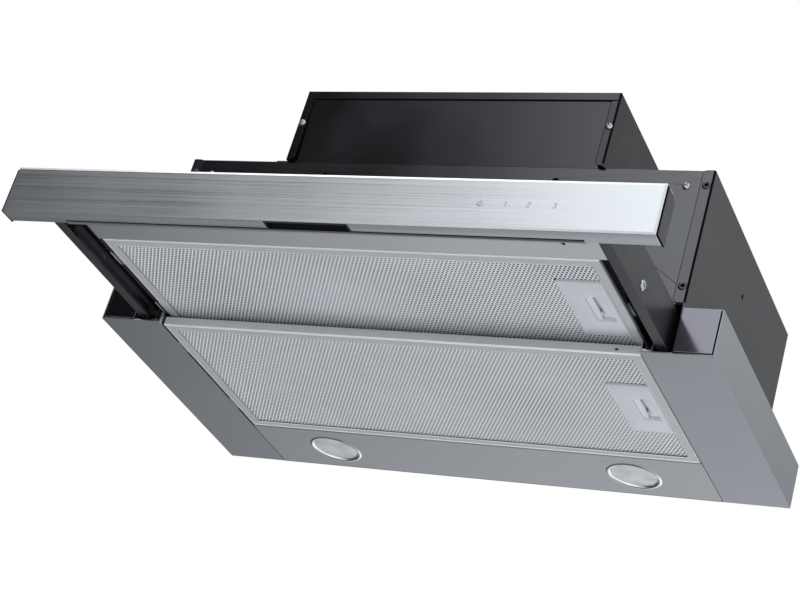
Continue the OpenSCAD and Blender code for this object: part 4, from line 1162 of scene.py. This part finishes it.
    # Which rays see what: the walls, the even light, or plain white for the camera.
    path = n.new("ShaderNodeLightPath")
    shown = maths("ADD", path.outputs["Is Glossy Ray"], path.outputs["Is Transmission Ray"])
    light = n.new("ShaderNodeBackground")
    light.inputs["Color"].default_value = COOL_WHITE
    light.inputs["Strength"].default_value = EVEN_LIGHT
    seen = n.new("ShaderNodeBackground")
    seen.inputs["Color"].default_value = COOL_WHITE
    l.new(wall, seen.inputs["Strength"])
    plain = n.new("ShaderNodeBackground")
    plain.inputs["Color"].default_value = (1, 1, 1, 1)
    plain.inputs["Strength"].default_value = 1.0
    first = n.new("ShaderNodeMixShader")
    l.new(shown, first.inputs[0])
    l.new(light.outputs[0], first.inputs[1])
    l.new(seen.outputs[0], first.inputs[2])
    last = n.new("ShaderNodeMixShader")
    l.new(path.outputs["Is Camera Ray"], last.inputs[0])
    l.new(first.outputs[0], last.inputs[1])
    l.new(plain.outputs[0], last.inputs[2])
    l.new(last.outputs[0], out.inputs["Surface"])


def soft_lamp(name, place, target, size, power):
    """A square soft lamp at place, aimed at target, that glossy rays don't see."""
    d = bpy.data.lights.new(name, "AREA")
    d.shape = "RECTANGLE"
    d.size, d.size_y = size, size
    d.energy = power
    o = bpy.data.objects.new(name, d)
    bpy.context.scene.collection.objects.link(o)
    o.location = place
    o.rotation_mode = "QUATERNION"
    o.rotation_quaternion = (Vector(target) - Vector(place)).to_track_quat("-Z", "Y")
    o.visible_glossy = False


stage()
world()
# Each lamp's place, aim, width in metres and power in watts.
soft_lamp("key", (0.9, -2.6, 1.9), (0.1, -0.25, 0.1), 2.6, 46)
soft_lamp("under", (0.9, 0.9, -1.05), (0.0, -0.2, 0.0), 0.5, 15)
soft_lamp("fill", (-0.2, -1.6, -1.1), (0.0, -0.2, 0.0), 1.2, 22)

# The camera's place and its right, up and backward directions, fitted to the photograph's corners.
CAMERA_PLACE = (0.8225, -1.7281, -0.7661)
RIGHT = Vector((0.89423, 0.36178, 0.26356))
UP = Vector((-0.04841, -0.5072, 0.86047))
BACK = Vector((0.44498, -0.78222, -0.43604))
SENSOR, LENS = 36.0, 93.87
scene = bpy.context.scene
cam_data = bpy.data.cameras.new("camera")
cam = bpy.data.objects.new("camera", cam_data)
scene.collection.objects.link(cam)
scene.camera = cam
cam_data.sensor_width = SENSOR
cam_data.lens = LENS
cam_data.clip_start, cam_data.clip_end = 0.01, 60
turn = Matrix((RIGHT, UP, BACK)).transposed().to_4x4()
cam.matrix_world = Matrix.Translation(CAMERA_PLACE) @ turn
scene.view_settings.view_transform = "Standard"

low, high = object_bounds()
